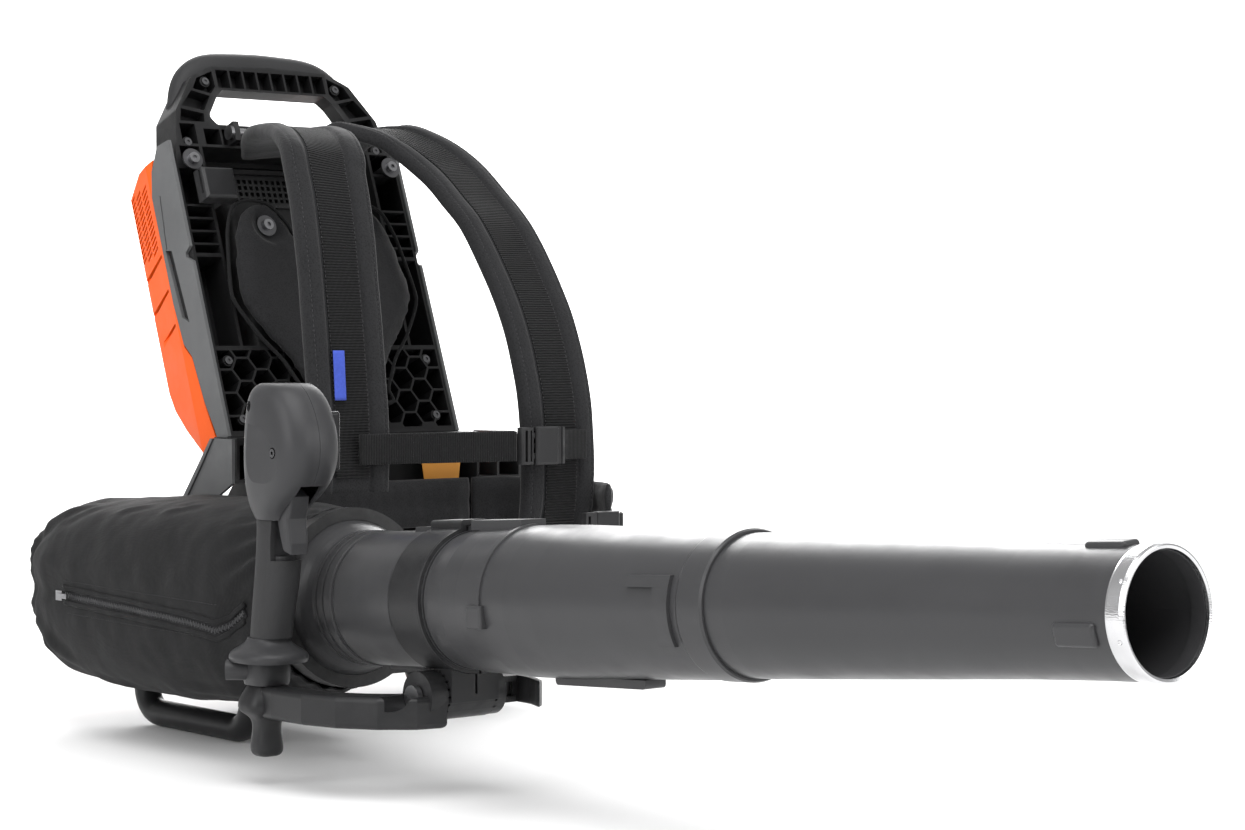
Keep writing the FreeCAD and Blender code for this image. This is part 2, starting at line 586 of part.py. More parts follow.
# ---------------------------------------------------------------- fan unit
def fan_nodes():
    inner = FAN_R - 2.5
    # front half: duct with a ball socket at its mouth
    front = turned([(inner, -154), (FAN_R, -154), (FAN_R, -66), (FAN_R + 2, -62), (FAN_R + 2, -46),
                    (52, -46), (52, -96), (inner, -104)])
    bore = Part.makeSphere(BALL_R + 0.25, Vector(0, 0, BALL_S))
    front = front.cut(bore)
    flange = turned([(FAN_R - 0.5, -154), (FAN_R + 3.4, -154), (FAN_R + 3.4, -151), (FAN_R - 0.5, -151)])
    put("fan_housing_front", on_tube(fuse_all([front, flange])))
    rear = turned([(inner, -245), (FAN_R, -252), (FAN_R, -154.2), (inner, -154.2)])
    bell = turned([(inner, -245), (FAN_R, -252), (FAN_R + 3.2, -258), (FAN_R + 3.2, -260.5),
                   (FAN_R - 1, -256)])
    flange = turned([(FAN_R - 0.5, -157.2), (FAN_R + 3.4, -157.2), (FAN_R + 3.4, -154.2),
                     (FAN_R - 0.5, -154.2)])
    put("fan_housing_rear", on_tube(fuse_all([rear, bell, flange])))
    # motor and its mount
    can = turned([(21.5, -142), (24, -142), (24, -80), (4.5, -80), (4.5, -82.5), (7.02, -82.5),
                  (7.02, -92), (9.5, -92), (9.5, -82.5), (21.5, -82.5)])
    rear_plate = turned([(7.1, -142), (23.9, -142), (23.9, -139.5), (7.1, -139.5)])
    vane = box(-1.0, 1.0, 23.5, inner, -138, -108)
    vane.rotate(Vector(0, 40, -123), Vector(0, 1, 0), 22)
    limit = turned([(23.2, -145), (inner - 0.1, -145), (inner - 0.1, -100), (23.2, -100)])
    ring = turned([(inner - 1.6, -140), (inner - 0.05, -140), (inner - 0.05, -106), (inner - 1.6, -106)])
    put("diffuser_and_motor_can", on_tube(fuse_all([can, rear_plate, ring]
                                                   + [v.common(limit) for v in spun(vane, 7)])))
    tooth = box(-3, 3, 13.6, 21.3, -128, -94)
    stator = turned([(18.2, -128), (21.4, -128), (21.4, -94), (18.2, -94)])
    reach = turned([(13.6, -128), (21.0, -128), (21.0, -94), (13.6, -94)])
    put("motor_stator", on_tube(fuse_all([stator] + spun(tooth.common(reach), 9))))
    put("motor_rotor", on_tube(turned([(3.0, -127), (13.0, -127), (13.0, -95), (3.0, -95)])))
    nut = cyl((0, 0, -185.5), (0, 0, 1), 5.5, 3.4)
    put("motor_shaft", on_tube(fuse_all([cyl((0, 0, -187), (0, 0, 1), 3.0, 103.0), nut])))
    rear_b = turned([(3.05, -141.8), (7.0, -141.8), (7.0, -137), (3.05, -137)])
    front_b = turned([(3.05, -89), (7.0, -89), (7.0, -83.0), (3.05, -83.0)])
    put("motor_bearings", on_tube(Part.makeCompound([rear_b, front_b])))
    # impeller
    hub = turned([(3.0, -182), (16, -182), (23, -170), (24, -150), (22, -144.5), (6, -144.5), (3.0, -147)])
    blade = box(-0.9, 0.9, 21, inner - 1.0, -172, -148)
    blade.rotate(Vector(0, 42, -160), Vector(0, 1, 0), 34)
    limit = turned([(21, -176), (inner - 0.8, -176), (inner - 0.8, -145), (21, -145)])
    put("impeller", on_tube(fuse_all([hub] + [b.common(limit) for b in spun(blade, 11)])))
    # intake grille: rings on radial spokes inside the bell
    rings = [turned([(r, -250), (r + 2, -250), (r + 2, -246.5), (r, -246.5)]) for r in (10, 22, 34, 46, 60.5)]
    spokes = spun(box(-1.2, 1.2, 10.5, 62.0, -250, -246.5), 10)
    put("intake_grille", on_tube(fuse_all(rings + spokes)))


def build_bag():
    """Fabric intake bag: a skin round the fan, open at the front, the back and to the base."""
    stations = [(124, 121, 70, 62), (118, 121, 112, 104), (102, 118, 140, 136), (66, 116, 155, 152),
                (10, 117, 161, 160), (-40, 118, 164, 163), (-110, 120, 165, 165), (-190, 122, 161, 161),
                (-232, 126, 150, 150), (-262, 130, 142, 142)]

    def skin(shrink):
        wires = []
        for y, cz, width, height in stations:
            wires.append(rounded_rect_wire(TUBE_X, cz, y, width - 2 * shrink, height - 2 * shrink,
                                           2.8 if y > -230 else 2.2))
        return Part.makeLoft(wires, True, False)
    outer = skin(0.0)
    inner = skin(2.6)
    front_gap = on_tube(cyl((0, 0, -120), (0, 0, 1), FAN_R + 2.6, 160))
    rear_gap = cyl((TUBE_X, 60, 118), (0, 1, 0), 22.0, 120)
    base_gap = [box(-116, -60, -165, 90, 40, 125), box(-131.6, -60, -30, 85, 150, 260),
                box(-142, -60, -165, 82, 46, 58), box(-226, -80, -161, -98, 48.5, 56.5)]
    risers = [cyl((TUBE_X + 15, y, 20), (0, 0, 1), SKID_R + 1.0, 45) for y in (57, -108)]
    bag = cut_all(outer, [inner, front_gap, rear_gap] + base_gap + risers)
    solids = sorted(bag.Solids, key=lambda s: s.Volume)
    return solids[-1]


def bag_nodes():
    put("intake_bag", build_bag())
    x = TUBE_X - 83.2
    slider = fuse_all([box(x - 2.1, x, 22, 32, 113, 121), box(x - 3.6, x - 2.0, 12, 28, 115, 119)])
    put("zip_slider", slider)


# ---------------------------------------------------------------- blower tube
def ring_profile(points, thickness):
    """Closed section of a thin tube from outer (radius, station) points."""
    return points + [(r - thickness, s) for r, s in reversed(points)]


def tube_nodes():
    # ball collar with three swivel grooves
    dome = [(BALL_R * math.cos(math.radians(a)), BALL_S + BALL_R * math.sin(math.radians(a)))
            for a in range(-18, 33, 5)]
    neck = [(50.6, -26.0), (50.6, -25.2), (49.3, -24.6), (49.3, -22.8), (50.7, -22.2), (50.7, -16.6),
            (49.3, -16.0), (49.3, -14.2), (50.6, -13.6), (50.6, -6.0), (49.4, -5.4), (49.4, -3.2)]
    inner = [(47.0, -3.2), (47.0, -40.0), (52.0, -70.0), (54.0, -78.0)]
    put("ball_collar", on_tube(turned(dome + neck + inner)))
    # control tube, turning inside the collar
    control = turned([(46.95, -34), (46.95, -2.9), (49.4, -2.9), (CONTROL_R, -1.8), (CONTROL_R, 109.0),
                      (CONTROL_R - TUBE_T, 109.0), (44.8, -2.9), (44.8, -34)])
    ribs = [box(x - 1.3, x + 1.3, CONTROL_R - 1.2, CONTROL_R + 3.0, 43, 124) for x in (-4.2, 4.2)]
    low_rib = box(-6, 6, -CONTROL_R - 2.0, -CONTROL_R + 1.2, 5, 60)
    spigot = turned([(47.4, 100), (47.6, 100), (47.6, 134), (45.6, 134), (45.6, 100)])
    control = fuse_all([control, spigot] + [r.common(box(-10, 10, 40, 60, 43, 110.0)) for r in ribs]
                       + [low_rib])
    put("control_tube", on_tube(control))
    # mid tube: coupling collar, swelling body, end collar
    outer = [(49.2, 110.2), (49.2, 113.0), (51.3, 132.0), (51.4, 150.0), (52.6, 178.0), (52.9, 205.0),
             (52.4, 235.0), (51.2, 275.0), (49.8, 320.0), (48.3, 378.0), (49.0, 380.0), (49.0, 401.0),
             (48.0, 403.0)]
    bore = [(46.4, 403.0), (46.4, 376.0), (47.6, 320.0), (49.0, 275.0), (50.2, 235.0), (50.6, 205.0),
            (50.2, 178.0), (49.1, 150.0), (48.9, 135.0), (47.7, 135.0), (47.7, 110.2)]
    mid = turned(outer + bore)
    # flat lug underneath
    lug = box(-9, 9, -56.6, -50.5, 205, 300)
    lug = rounded(lug, 3.0, lambda e: e.CenterOfMass.y < -56 and along(e, (1, 0, 0)))
    lug = lug.cut(turned([(0, 200), (51.0, 200), (49.5, 305), (0, 305)]))
    # raised rib that sweeps round the body from the top to a latch tab
    rib = turned([(51.0, 176.0), (54.0, 176.4), (54.0, 180.2), (51.0, 180.6)])
    rib = rib.common(box(-80, 0, -14, 80, 170, 190))
    tab = box(-56.3, -50.0, -16, 0, 168, 184)
    tab = rounded(tab, 2.0, lambda e: e.CenterOfMass.x < -56)
    tab = tab.cut(turned([(0, 160), (51.2, 160), (51.2, 190), (0, 190)]))
    # top bridge over the clamp's screw
    bridge = box(-11, 11, 50, 57.0, 118, 176)
    bridge = bridge.cut(turned([(0, 110), (50.6, 110), (50.6, 150), (51.4, 180), (0, 180)]))
    # seven-shaped bayonet tab
    flat = turned([(47.0, 330.0), (51.8, 330.0), (51.2, 374.0), (46.5, 374.0)])
    top_bar = flat.common(box(-60, -30, 14.0, 21.5, 332, 368))
    hook = flat.common(box(-60, -30, -24.0, 21.5, 358, 373))
    bayonet = fuse_all([top_bar, hook])
    put("mid_tube", on_tube(fuse_all([mid, lug, rib, tab, bridge, bayonet])))
    # nozzle tube: long taper, then a straight end with small pockets
    outer = [(46.2, 366.0), (46.2, 404.0), (46.1, 420.0), (43.6, 500.0), (40.9, 580.0), (38.9, 640.0),
             (38.0, 690.0), (37.9, 719.0), (36.6, 719.4), (36.6, 729.0)]
    nozzle = turned(ring_profile(outer, 1.9))
    pads = []
    for angle in (95.0, 195.0, 315.0):
        pad = box(36.5, 40.6, -7, 7, 682, 712)
        pad = rounded(pad, 2.5, lambda e: along(e, (1, 0, 0)) or e.CenterOfMass.x > 40)
        pad = pad.cut(cyl((0, 0, 660), (0, 0, 1), 37.0, 80))
        pad.rotate(Vector(0, 0, 0), Vector(0, 0, 1), angle)
        pads.append(pad)
    put("nozzle_tube", on_tube(fuse_all([nozzle] + pads)))
    ring = turned([(36.7, 719.6), (38.6, 719.6), (38.9, 721.0), (38.9, 729.4), (38.2, 731.6),
                   (37.2, NOZZLE_END), (35.6, 731.4), (35.1, 729.6), (35.1, 729.2), (36.7, 729.2)])
    dimples = []
    for angle in (150.0, 200.0, 30.0, 270.0):
        dimple = Part.makeSphere(1.6, Vector(39.4, 0, 727.7))
        dimple.rotate(Vector(0, 0, 0), Vector(0, 0, 1), angle)
        dimples.append(dimple)
    put("nozzle_ring", on_tube(cut_all(ring, dimples)))


# ---------------------------------------------------------------- clamp and handle
def serration(x, radius, count=20):
    """Radial V grooves on one face of a disc round the bolt."""
    grooves = []
    for k in range(count):
        bar = box(-0.9, 0.9, -0.9, 0.9, 6.0, radius + 2)
        bar.rotate(Vector(0, 0, 0), Vector(0, 0, 1), 45)
        bar.rotate(Vector(0, 0, 0), Vector(1, 0, 0), 360.0 * k / count)
        bar.translate(Vector(x, BOLT_Y, BOLT_Z))
        grooves.append(bar)
    return grooves


def clamp_nodes():
    band = turned([(CONTROL_R + 0.06, 71.0), (52.6, 71.0), (53.0, 73.0), (53.0, 106.0), (52.6, 107.8),
                   (CONTROL_R + 0.06, 107.8)])
    key_way = box(-7.5, 7.5, 45, CONTROL_R + 3.6, 70, 109)
    top_bridge = box(-12, 12, 50.5, 57.5, 71.0, 107.8)
    top_bridge = rounded(top_bridge, 2.5, lambda e: e.CenterOfMass.y > 57 and along(e, (0, 0, 1)))
    band = fuse_all([band, top_bridge.cut(cyl((0, 0, 60), (0, 0, 1), 50.5, 60))])
    band = on_tube(band.cut(key_way))
    block = box(BLOCK_X0, BLOCK_X1, BOLT_Y - 20, BOLT_Y + 14, BOLT_Z - 4, 100)
    block = fuse_all([block, cyl((BLOCK_X0, BOLT_Y, BOLT_Z), (1, 0, 0), 18.0, BLOCK_X1 - BLOCK_X0)])
    block = block.cut(on_tube(cyl((0, 0, 0), (0, 0, 1), CONTROL_R + 0.06, 200)))
    split = box(TUBE_X - 1.0, TUBE_X + 1.0, BOLT_Y - 40, BOLT_Y + 40, BOLT_Z - 30, BOLT_Z + 60)
    clamp = fuse_all([band, block])
    gap = split.common(box(-300, 0, BOLT_Y - 30, BOLT_Y + 30, 74, 100))
    tools = serration(BLOCK_X0, 17.5) + serration(BLOCK_X1, 17.5)
    tools += [cyl((BLOCK_X0 - 5, BOLT_Y, BOLT_Z), (1, 0, 0), 4.05, 60), gap]
    put("clamp_ring", cut_all(clamp, tools))
    bolt = cyl((-219, BOLT_Y, BOLT_Z), (1, 0, 0), 4.0, 75.0)
    head = cyl((-223, BOLT_Y, BOLT_Z), (1, 0, 0), 8.5, 4.2)
    slot = box(-224, -221.4, BOLT_Y - 5, BOLT_Y + 5, BOLT_Z - 1, BOLT_Z + 1)
    eye = box(-148.0, -137.0, BOLT_Y - 4.0, BOLT_Y + 4.0, BOLT_Z - 5.0, BOLT_Z + 5.0)
    cross_pin = cyl((-142, BOLT_Y, BOLT_Z - 9.5), (0, 0, 1), 2.45, 19.0)
    put("clamp_bolt", fuse_all([bolt, head, eye, cross_pin]).cut(slot))
    washer = cyl((-159.7, BOLT_Y, BOLT_Z), (1, 0, 0), 17.5, 9.0)
    washer = washer.cut(cyl((-165, BOLT_Y, BOLT_Z), (1, 0, 0), 4.1, 30))
    washer = cut_all(washer, serration(-159.7, 17.0))
    put("pressure_disc", washer)
    # quick-release lever: a fork on the pin with a curved tail that lies against the clamp
    fork = [cyl((-142, BOLT_Y, z0), (0, 0, 1), 8.3, 4.2) for z0 in (BOLT_Z - 9.6, BOLT_Z + 5.4)]
    back = Part.makeCylinder(12.5, 19.2, Vector(-142, BOLT_Y, BOLT_Z - 9.6), Vector(0, 0, 1))
    back = back.cut(cyl((-142, BOLT_Y, BOLT_Z - 20), (0, 0, 1), 8.2, 50))
    back = back.common(box(-150, -120, BOLT_Y - 7.5, BOLT_Y + 7.5, BOLT_Z - 30, BOLT_Z + 30))
    back = back.cut(box(-160, -138.0, BOLT_Y - 20, BOLT_Y + 20, BOLT_Z - 30, BOLT_Z + 30))
    cheeks = [box(-142, -134.5, BOLT_Y - 8.0, BOLT_Y + 8.0, z0, z0 + 4.2)
              for z0 in (BOLT_Z - 9.6, BOLT_Z + 5.4)]
    tail_points = [(-133.5, BOLT_Y + 6.4), (-129.6, BOLT_Y + 4), (-128.5, BOLT_Y - 10), (-130, BOLT_Y - 26),
                   (-136, BOLT_Y - 40), (-143, BOLT_Y - 46), (-141.5, BOLT_Y - 40), (-136.5, BOLT_Y - 26),
                   (-134.0, BOLT_Y - 10)]
    tail = prism_xy(tail_points, BOLT_Z - 9.6, BOLT_Z + 9.6)
    tail = rounded(tail, 1.5, lambda e: e.CenterOfMass.y < BOLT_Y - 12 and not along(e, (0, 0, 1)))
    lever = fuse_all(fork + [back, tail] + cheeks)
    lever = cut_all(lever, [cyl((-142, BOLT_Y, BOLT_Z - 20), (0, 0, 1), 2.5, 40)])
    put("clamp_lever", sorted(lever.Solids, key=lambda s: s.Volume)[-1])


def handle_section(cx, cy, z, wx, wy, power=2.6):
    """Level rounded section of the handle."""
    points = []
    for i in range(20):
        a = 2 * math.pi * i / 20
        c, s = math.cos(a), math.sin(a)
        points.append(Vector(cx + wx / 2 * math.copysign(abs(c) ** (2 / power), c),
                             cy + wy / 2 * math.copysign(abs(s) ** (2 / power), s), z))
    curve = Part.BSplineCurve()
    curve.interpolate(points, PeriodicFlag=True)
    return Part.Wire([curve.toShape()])


EYE_AXIS = (-0.766, 0.643, 0)         # the control lead's eye looks outward and back


def eye_point(t):
    """Point on the axis of the control lead's eye, t outward from its shoulder."""
    return (POST_X - 19 + EYE_AXIS[0] * t, POST_Y + 13 + EYE_AXIS[1] * t, 85)


def handle_nodes():
    px, py = POST_X, POST_Y
    # foot post and the arm to the clamp, one moulding
    post = Part.makeLoft([handle_section(px, py, z, wx, wy, 3.0) for z, wx, wy in
                          ((21.5, 14, 14), (23.5, 20, 19), (27, 22, 21), (50, 24, 23), (74, 25, 25))],
                         True, False)
    plan_out = [(px - 11, py + 4), (px - 12.5, py - 25), (px - 11, py - 62), (px - 2, py - 92),
                (px + 16, py - 118), (px + 38, py - 136), (px + 60.5, py - 141)]
    plan_in = [(px + 60.5, py - 107), (px + 44, py - 104), (px + 28, py - 88), (px + 15, py - 66),
               (px + 10, py - 30), (px + 10, py + 4)]
    arm = prism_xy(plan_out + plan_in, 51, 74)
    arm = rounded(arm, 4.0, lambda e: not along(e, (0, 0, 1)))
    end = cyl((BLOCK_X0 - 15.5, BOLT_Y, BOLT_Z), (1, 0, 0), 18.0, 15.2)
    body = fuse_all([post, arm, end])
    band_space = on_tube(cyl((0, 0, -60), (0, 0, 1), 53.6, 240))
    under = [prism_xy([(px + 2 + 4.2 * k, py - 70 - 6.6 * k), (px + 5 + 4.2 * k, py - 72.5 - 6.6 * k),
                       (px + 14 + 4.2 * k, py - 62 - 6.6 * k), (px + 11 + 4.2 * k, py - 59.5 - 6.6 * k)],
                      40, 55) for k in range(9)]
    tools = [band_space, cyl((-230, BOLT_Y, BOLT_Z), (1, 0, 0), 4.05, 40),
             cyl((-245, BOLT_Y, BOLT_Z), (1, 0, 0), 9.0, 26.4)] + under
    tools += serration(BLOCK_X0 - 0.3, 17.0)
    body = cut_all(body, tools)
    put("handle_arm", sorted(body.Solids, key=lambda s: s.Volume)[-1])
    # collar, flange guard and the side eye for the control lead
    collar = Part.makeLoft([handle_section(px, py, z, wx, wy, 3.0) for z, wx, wy in
                            ((74.3, 29, 30), (80, 31, 32), (92, 30, 30))], True, False)
    guard = Part.makeLoft([handle_section(px, py - 3, z, wx, wy, 2.4) for z, wx, wy in
                           ((91.5, 52, 58), (96, 53, 60), (104, 34, 40), (109, 28, 33))], True, False)
    eye = cyl(eye_point(0.0), EYE_AXIS, 7.6, 6.5)
    arm_eye = cyl(eye_point(-16.4), EYE_AXIS, 7.6, 18)
    core = Part.makeLoft([handle_section(px, y, z, wx - 7, wy - 7, 2.4) for z, y, wx, wy in
                          ((105.0, -289, 27, 33), (150, -299, 29, 36), (196, -301, 28, 33))], True, False)
    lower = fuse_all([collar, guard, arm_eye, eye, core])
    trigger_room = box(px - 9.2, px + 9.2, -345, -309.5, 170, 198)
    lower = cut_all(lower, [cyl(eye_point(-12.0), EYE_AXIS, 5.2, 40), trigger_room])
    put("handle_core", sorted(lower.Solids, key=lambda s: s.Volume)[-1])
    # grip sleeve
    sleeve = Part.makeLoft([handle_section(px, y, z, wx, wy, 2.4) for z, y, wx, wy in
                            ((109.3, -291, 27, 33), (125, -294, 28, 34), (150, -299, 29, 36),
                             (175, -302, 29, 36), (196, -301, 28, 33))], True, False)
    core_space = Part.makeLoft([handle_section(px, y, z, wx - 6.6, wy - 6.6, 2.4) for z, y, wx, wy in
                                ((104.9, -289, 27, 33), (150, -299, 29, 36), (196.2, -301, 28, 33))],
                               True, False)
    trigger_side = box(px - 30, px + 30, -345, -311.0, 167, 230)
    put("grip_sleeve", cut_all(sleeve, [core_space, trigger_side]))
    # bulb head as two half shells on a centre plane
    head = Part.makeLoft([handle_section(px, y, z, wx, wy, pw) for z, y, wx, wy, pw in
                          ((196.4, -302, 30, 34, 2.4), (206, -304, 38, 46, 2.6), (218, -311, 45, 62, 3.0),
                           (236, -317, 50, 74, 3.2), (258, -318, 50, 75, 3.2), (274, -316, 49, 68, 3.0),
                           (287, -313, 45, 56, 2.8), (295.5, -311, 32, 36, 2.4))], True, False)
    hollow = Part.makeLoft([handle_section(px, y, z, wx - 6, wy - 6, 2.8) for z, y, wx, wy in
                            ((203, -304, 36, 42), (218, -311, 45, 62), (236, -317, 50, 74),
                             (258, -318, 50, 75), (274, -316, 49, 68), (288, -313, 42, 50))], True, False)
    trig_gap = box(px - 9.3, px + 9.3, -372, -309, 170, 222)
    shell = cut_all(head, [hollow, trig_gap])
    outer_half = shell.common(box(px - 60, px - 0.15, -420, -240, 150, 320))
    inner_half = shell.common(box(px + 0.15, px + 60, -420, -240, 150, 320))
    bezel_gap = box(px + 15, px + 40, -344, -294, 232, 276)
    recesses = [cyl((px - 40, -297, 279), (1, 0, 0), 4.0, 24.0), cyl((px - 40, -330, 246), (1, 0, 0), 4.0, 18.5)]
    pins = [cyl((px - 23, y, z), (1, 0, 0), 5.6, 22.8) for y, z in ((-297, 279), (-330, 246))]
    pins = [p.common(head) for p in pins]
    outer_half = fuse_all([outer_half] + pins)
    outer_half = cut_all(outer_half, recesses + [cyl((px - 40, y, z), (1, 0, 0), 1.75, 60)
                                                 for y, z in ((-297, 279), (-330, 246))])
    # shallow sculpted facet on the outer flank
    facet = prism_yz([(-286, 268), (-318, 264), (-336, 248), (-338, 222), (-326, 208), (-300, 214),
                      (-288, 230)], px - 40, px - 23.6)
    outer_half = outer_half.cut(facet)
    put("handle_shell_outer", sorted(outer_half.Solids, key=lambda s: s.Volume)[-1])
    inner_half = inner_half.cut(bezel_gap)
    put("handle_shell_inner", sorted(inner_half.Solids, key=lambda s: s.Volume)[-1])
    screws = [fuse_all([cyl((px + hx, y, z), (1, 0, 0), 3.2, 2.4), cyl((px + hx + 2.2, y, z),
                       (1, 0, 0), 1.55, 19)]).cut(cyl((px + hx - 0.6, y, z), (1, 0, 0), 1.4, 2.0))
              for y, z, hx in ((-297, 279, -18.5), (-330, 246, -24.0))]
    put("handle_screws", Part.makeCompound(screws))
    # key pad: bezel in the inner flank with a window, two keys and a lamp
    bezel = box(px + 19.0, px + 26.6, -343.5, -294.5, 232.5, 275.5)
    bezel = rounded(bezel, 2.4, lambda e: e.CenterOfMass.x > px + 26 or along(e, (1, 0, 0)))
    key_holes = [box(px + 17, px + 30, y - 8.2, y + 8.2, 239.8, 256.2) for y in (-330, -308)]
    lamp_holes = [cyl((px + 17, -319 + 7 * k, 266), (1, 0, 0), 1.8, 12) for k in (-1, 0, 1)]
    put("keypad_bezel", cut_all(bezel, key_holes + lamp_holes))
    for name, y in (("power_key", -330), ("boost_key", -308)):
        key = box(px + 20.0, px + 27.6, y - 7.9, y + 7.9, 240.1, 255.9)
        key = rounded(key, 1.5, lambda e: e.CenterOfMass.x > px + 27)
        put(name, key)
    # trigger on a cross pin
    trig = prism_yz([(-311, 214), (-311, 205), (-317.5, 184), (-322, 173.5), (-328.5, 172), (-329, 180),
                     (-327, 198), (-331, 214), (-322, 219), (-315, 219)], px - 8.6, px + 8.6)
    trig = rounded(trig, 2.5, lambda e: e.CenterOfMass.y < -324 and not along(e, (1, 0, 0)))
    trig = trig.cut(cyl((px - 20, -318, 213.5), (1, 0, 0), 2.05, 40))
    put("trigger", trig)
    pin = cyl((px - 15, -318, 213.5), (1, 0, 0), 2.0, 30)
    put("trigger_pin", pin)
    for name in ("handle_shell_outer", "handle_shell_inner"):
        NODES[name] = NODES[name].cut(cyl((px - 15.1, -318, 213.5), (1, 0, 0), 2.02, 30.2))
    spring = Part.makeHelix(2.4, 9.6, 3.2)
    coil = Part.Wire(spring.Edges).makePipeShell(
        [Part.Wire([Part.makeCircle(0.45, Vector(3.2, 0, 0), Vector(0, 1, 0.12))])], True, False)
    coil.rotate(Vector(0, 0, 0), Vector(1, 0, 0), 90)
    coil.translate(Vector(px, -299.2, 208.0))
    put("trigger_spring", coil)


# ---------------------------------------------------------------- harness soft goods
# outer centre lines of the straps as (y, z), each with the strap's centre x and width there
NEAR_LINE = [(79, 497, -29, 50), (52, 506, -39, 62), (15, 510, -50, 74), (-30, 508.5, -63, 76),
             (-65, 503, -76, 76), (-90, 495, -86, 76), (-108, 483, -92, 77), (-119, 466, -96, 77),
             (-130, 440, -98, 77), (-141, 400, -100, 76), (-151, 330, -100, 76), (-158, 265, -100, 76),
             (-160, 203, -100, 76)]
FAR_LINE = [(79, 503, 30, 52), (50, 516, 46, 68), (22, 514, 62, 72), (0, 503, 80.5, 73),
            (-27, 482, 96, 77), (-60, 455, 100, 76), (-99, 421, 100, 76), (-146, 355, 100, 76),
            (-170, 295, 100, 76), (-178, 246, 100, 76), (-178, 195, 100, 76), (-172, 158, 100, 76)]


def strap_solid(line):
    """Flat strap of changing width: rectangles square to a centre line, joined in order."""
    wires = []
    for i, (y, z, x, width) in enumerate(line):
        a, b = line[max(i - 1, 0)], line[min(i + 1, len(line) - 1)]
        reach = math.hypot(b[0] - a[0], b[1] - a[1])
        ny, nz = -(b[1] - a[1]) / reach, (b[0] - a[0]) / reach
        if ny * (0.0 - y) + nz * (250.0 - z) < 0:      # thickness goes towards the wearer's side
            ny, nz = -ny, -nz
        corners = [(x - width / 2, y, z), (x + width / 2, y, z),
                   (x + width / 2, y + ny * STRAP_T, z + nz * STRAP_T),
                   (x - width / 2, y + ny * STRAP_T, z + nz * STRAP_T)]
        wires.append(Part.makePolygon([Vector(*c) for c in corners + corners[:1]]))
    return Part.makeLoft(wires, True, True)


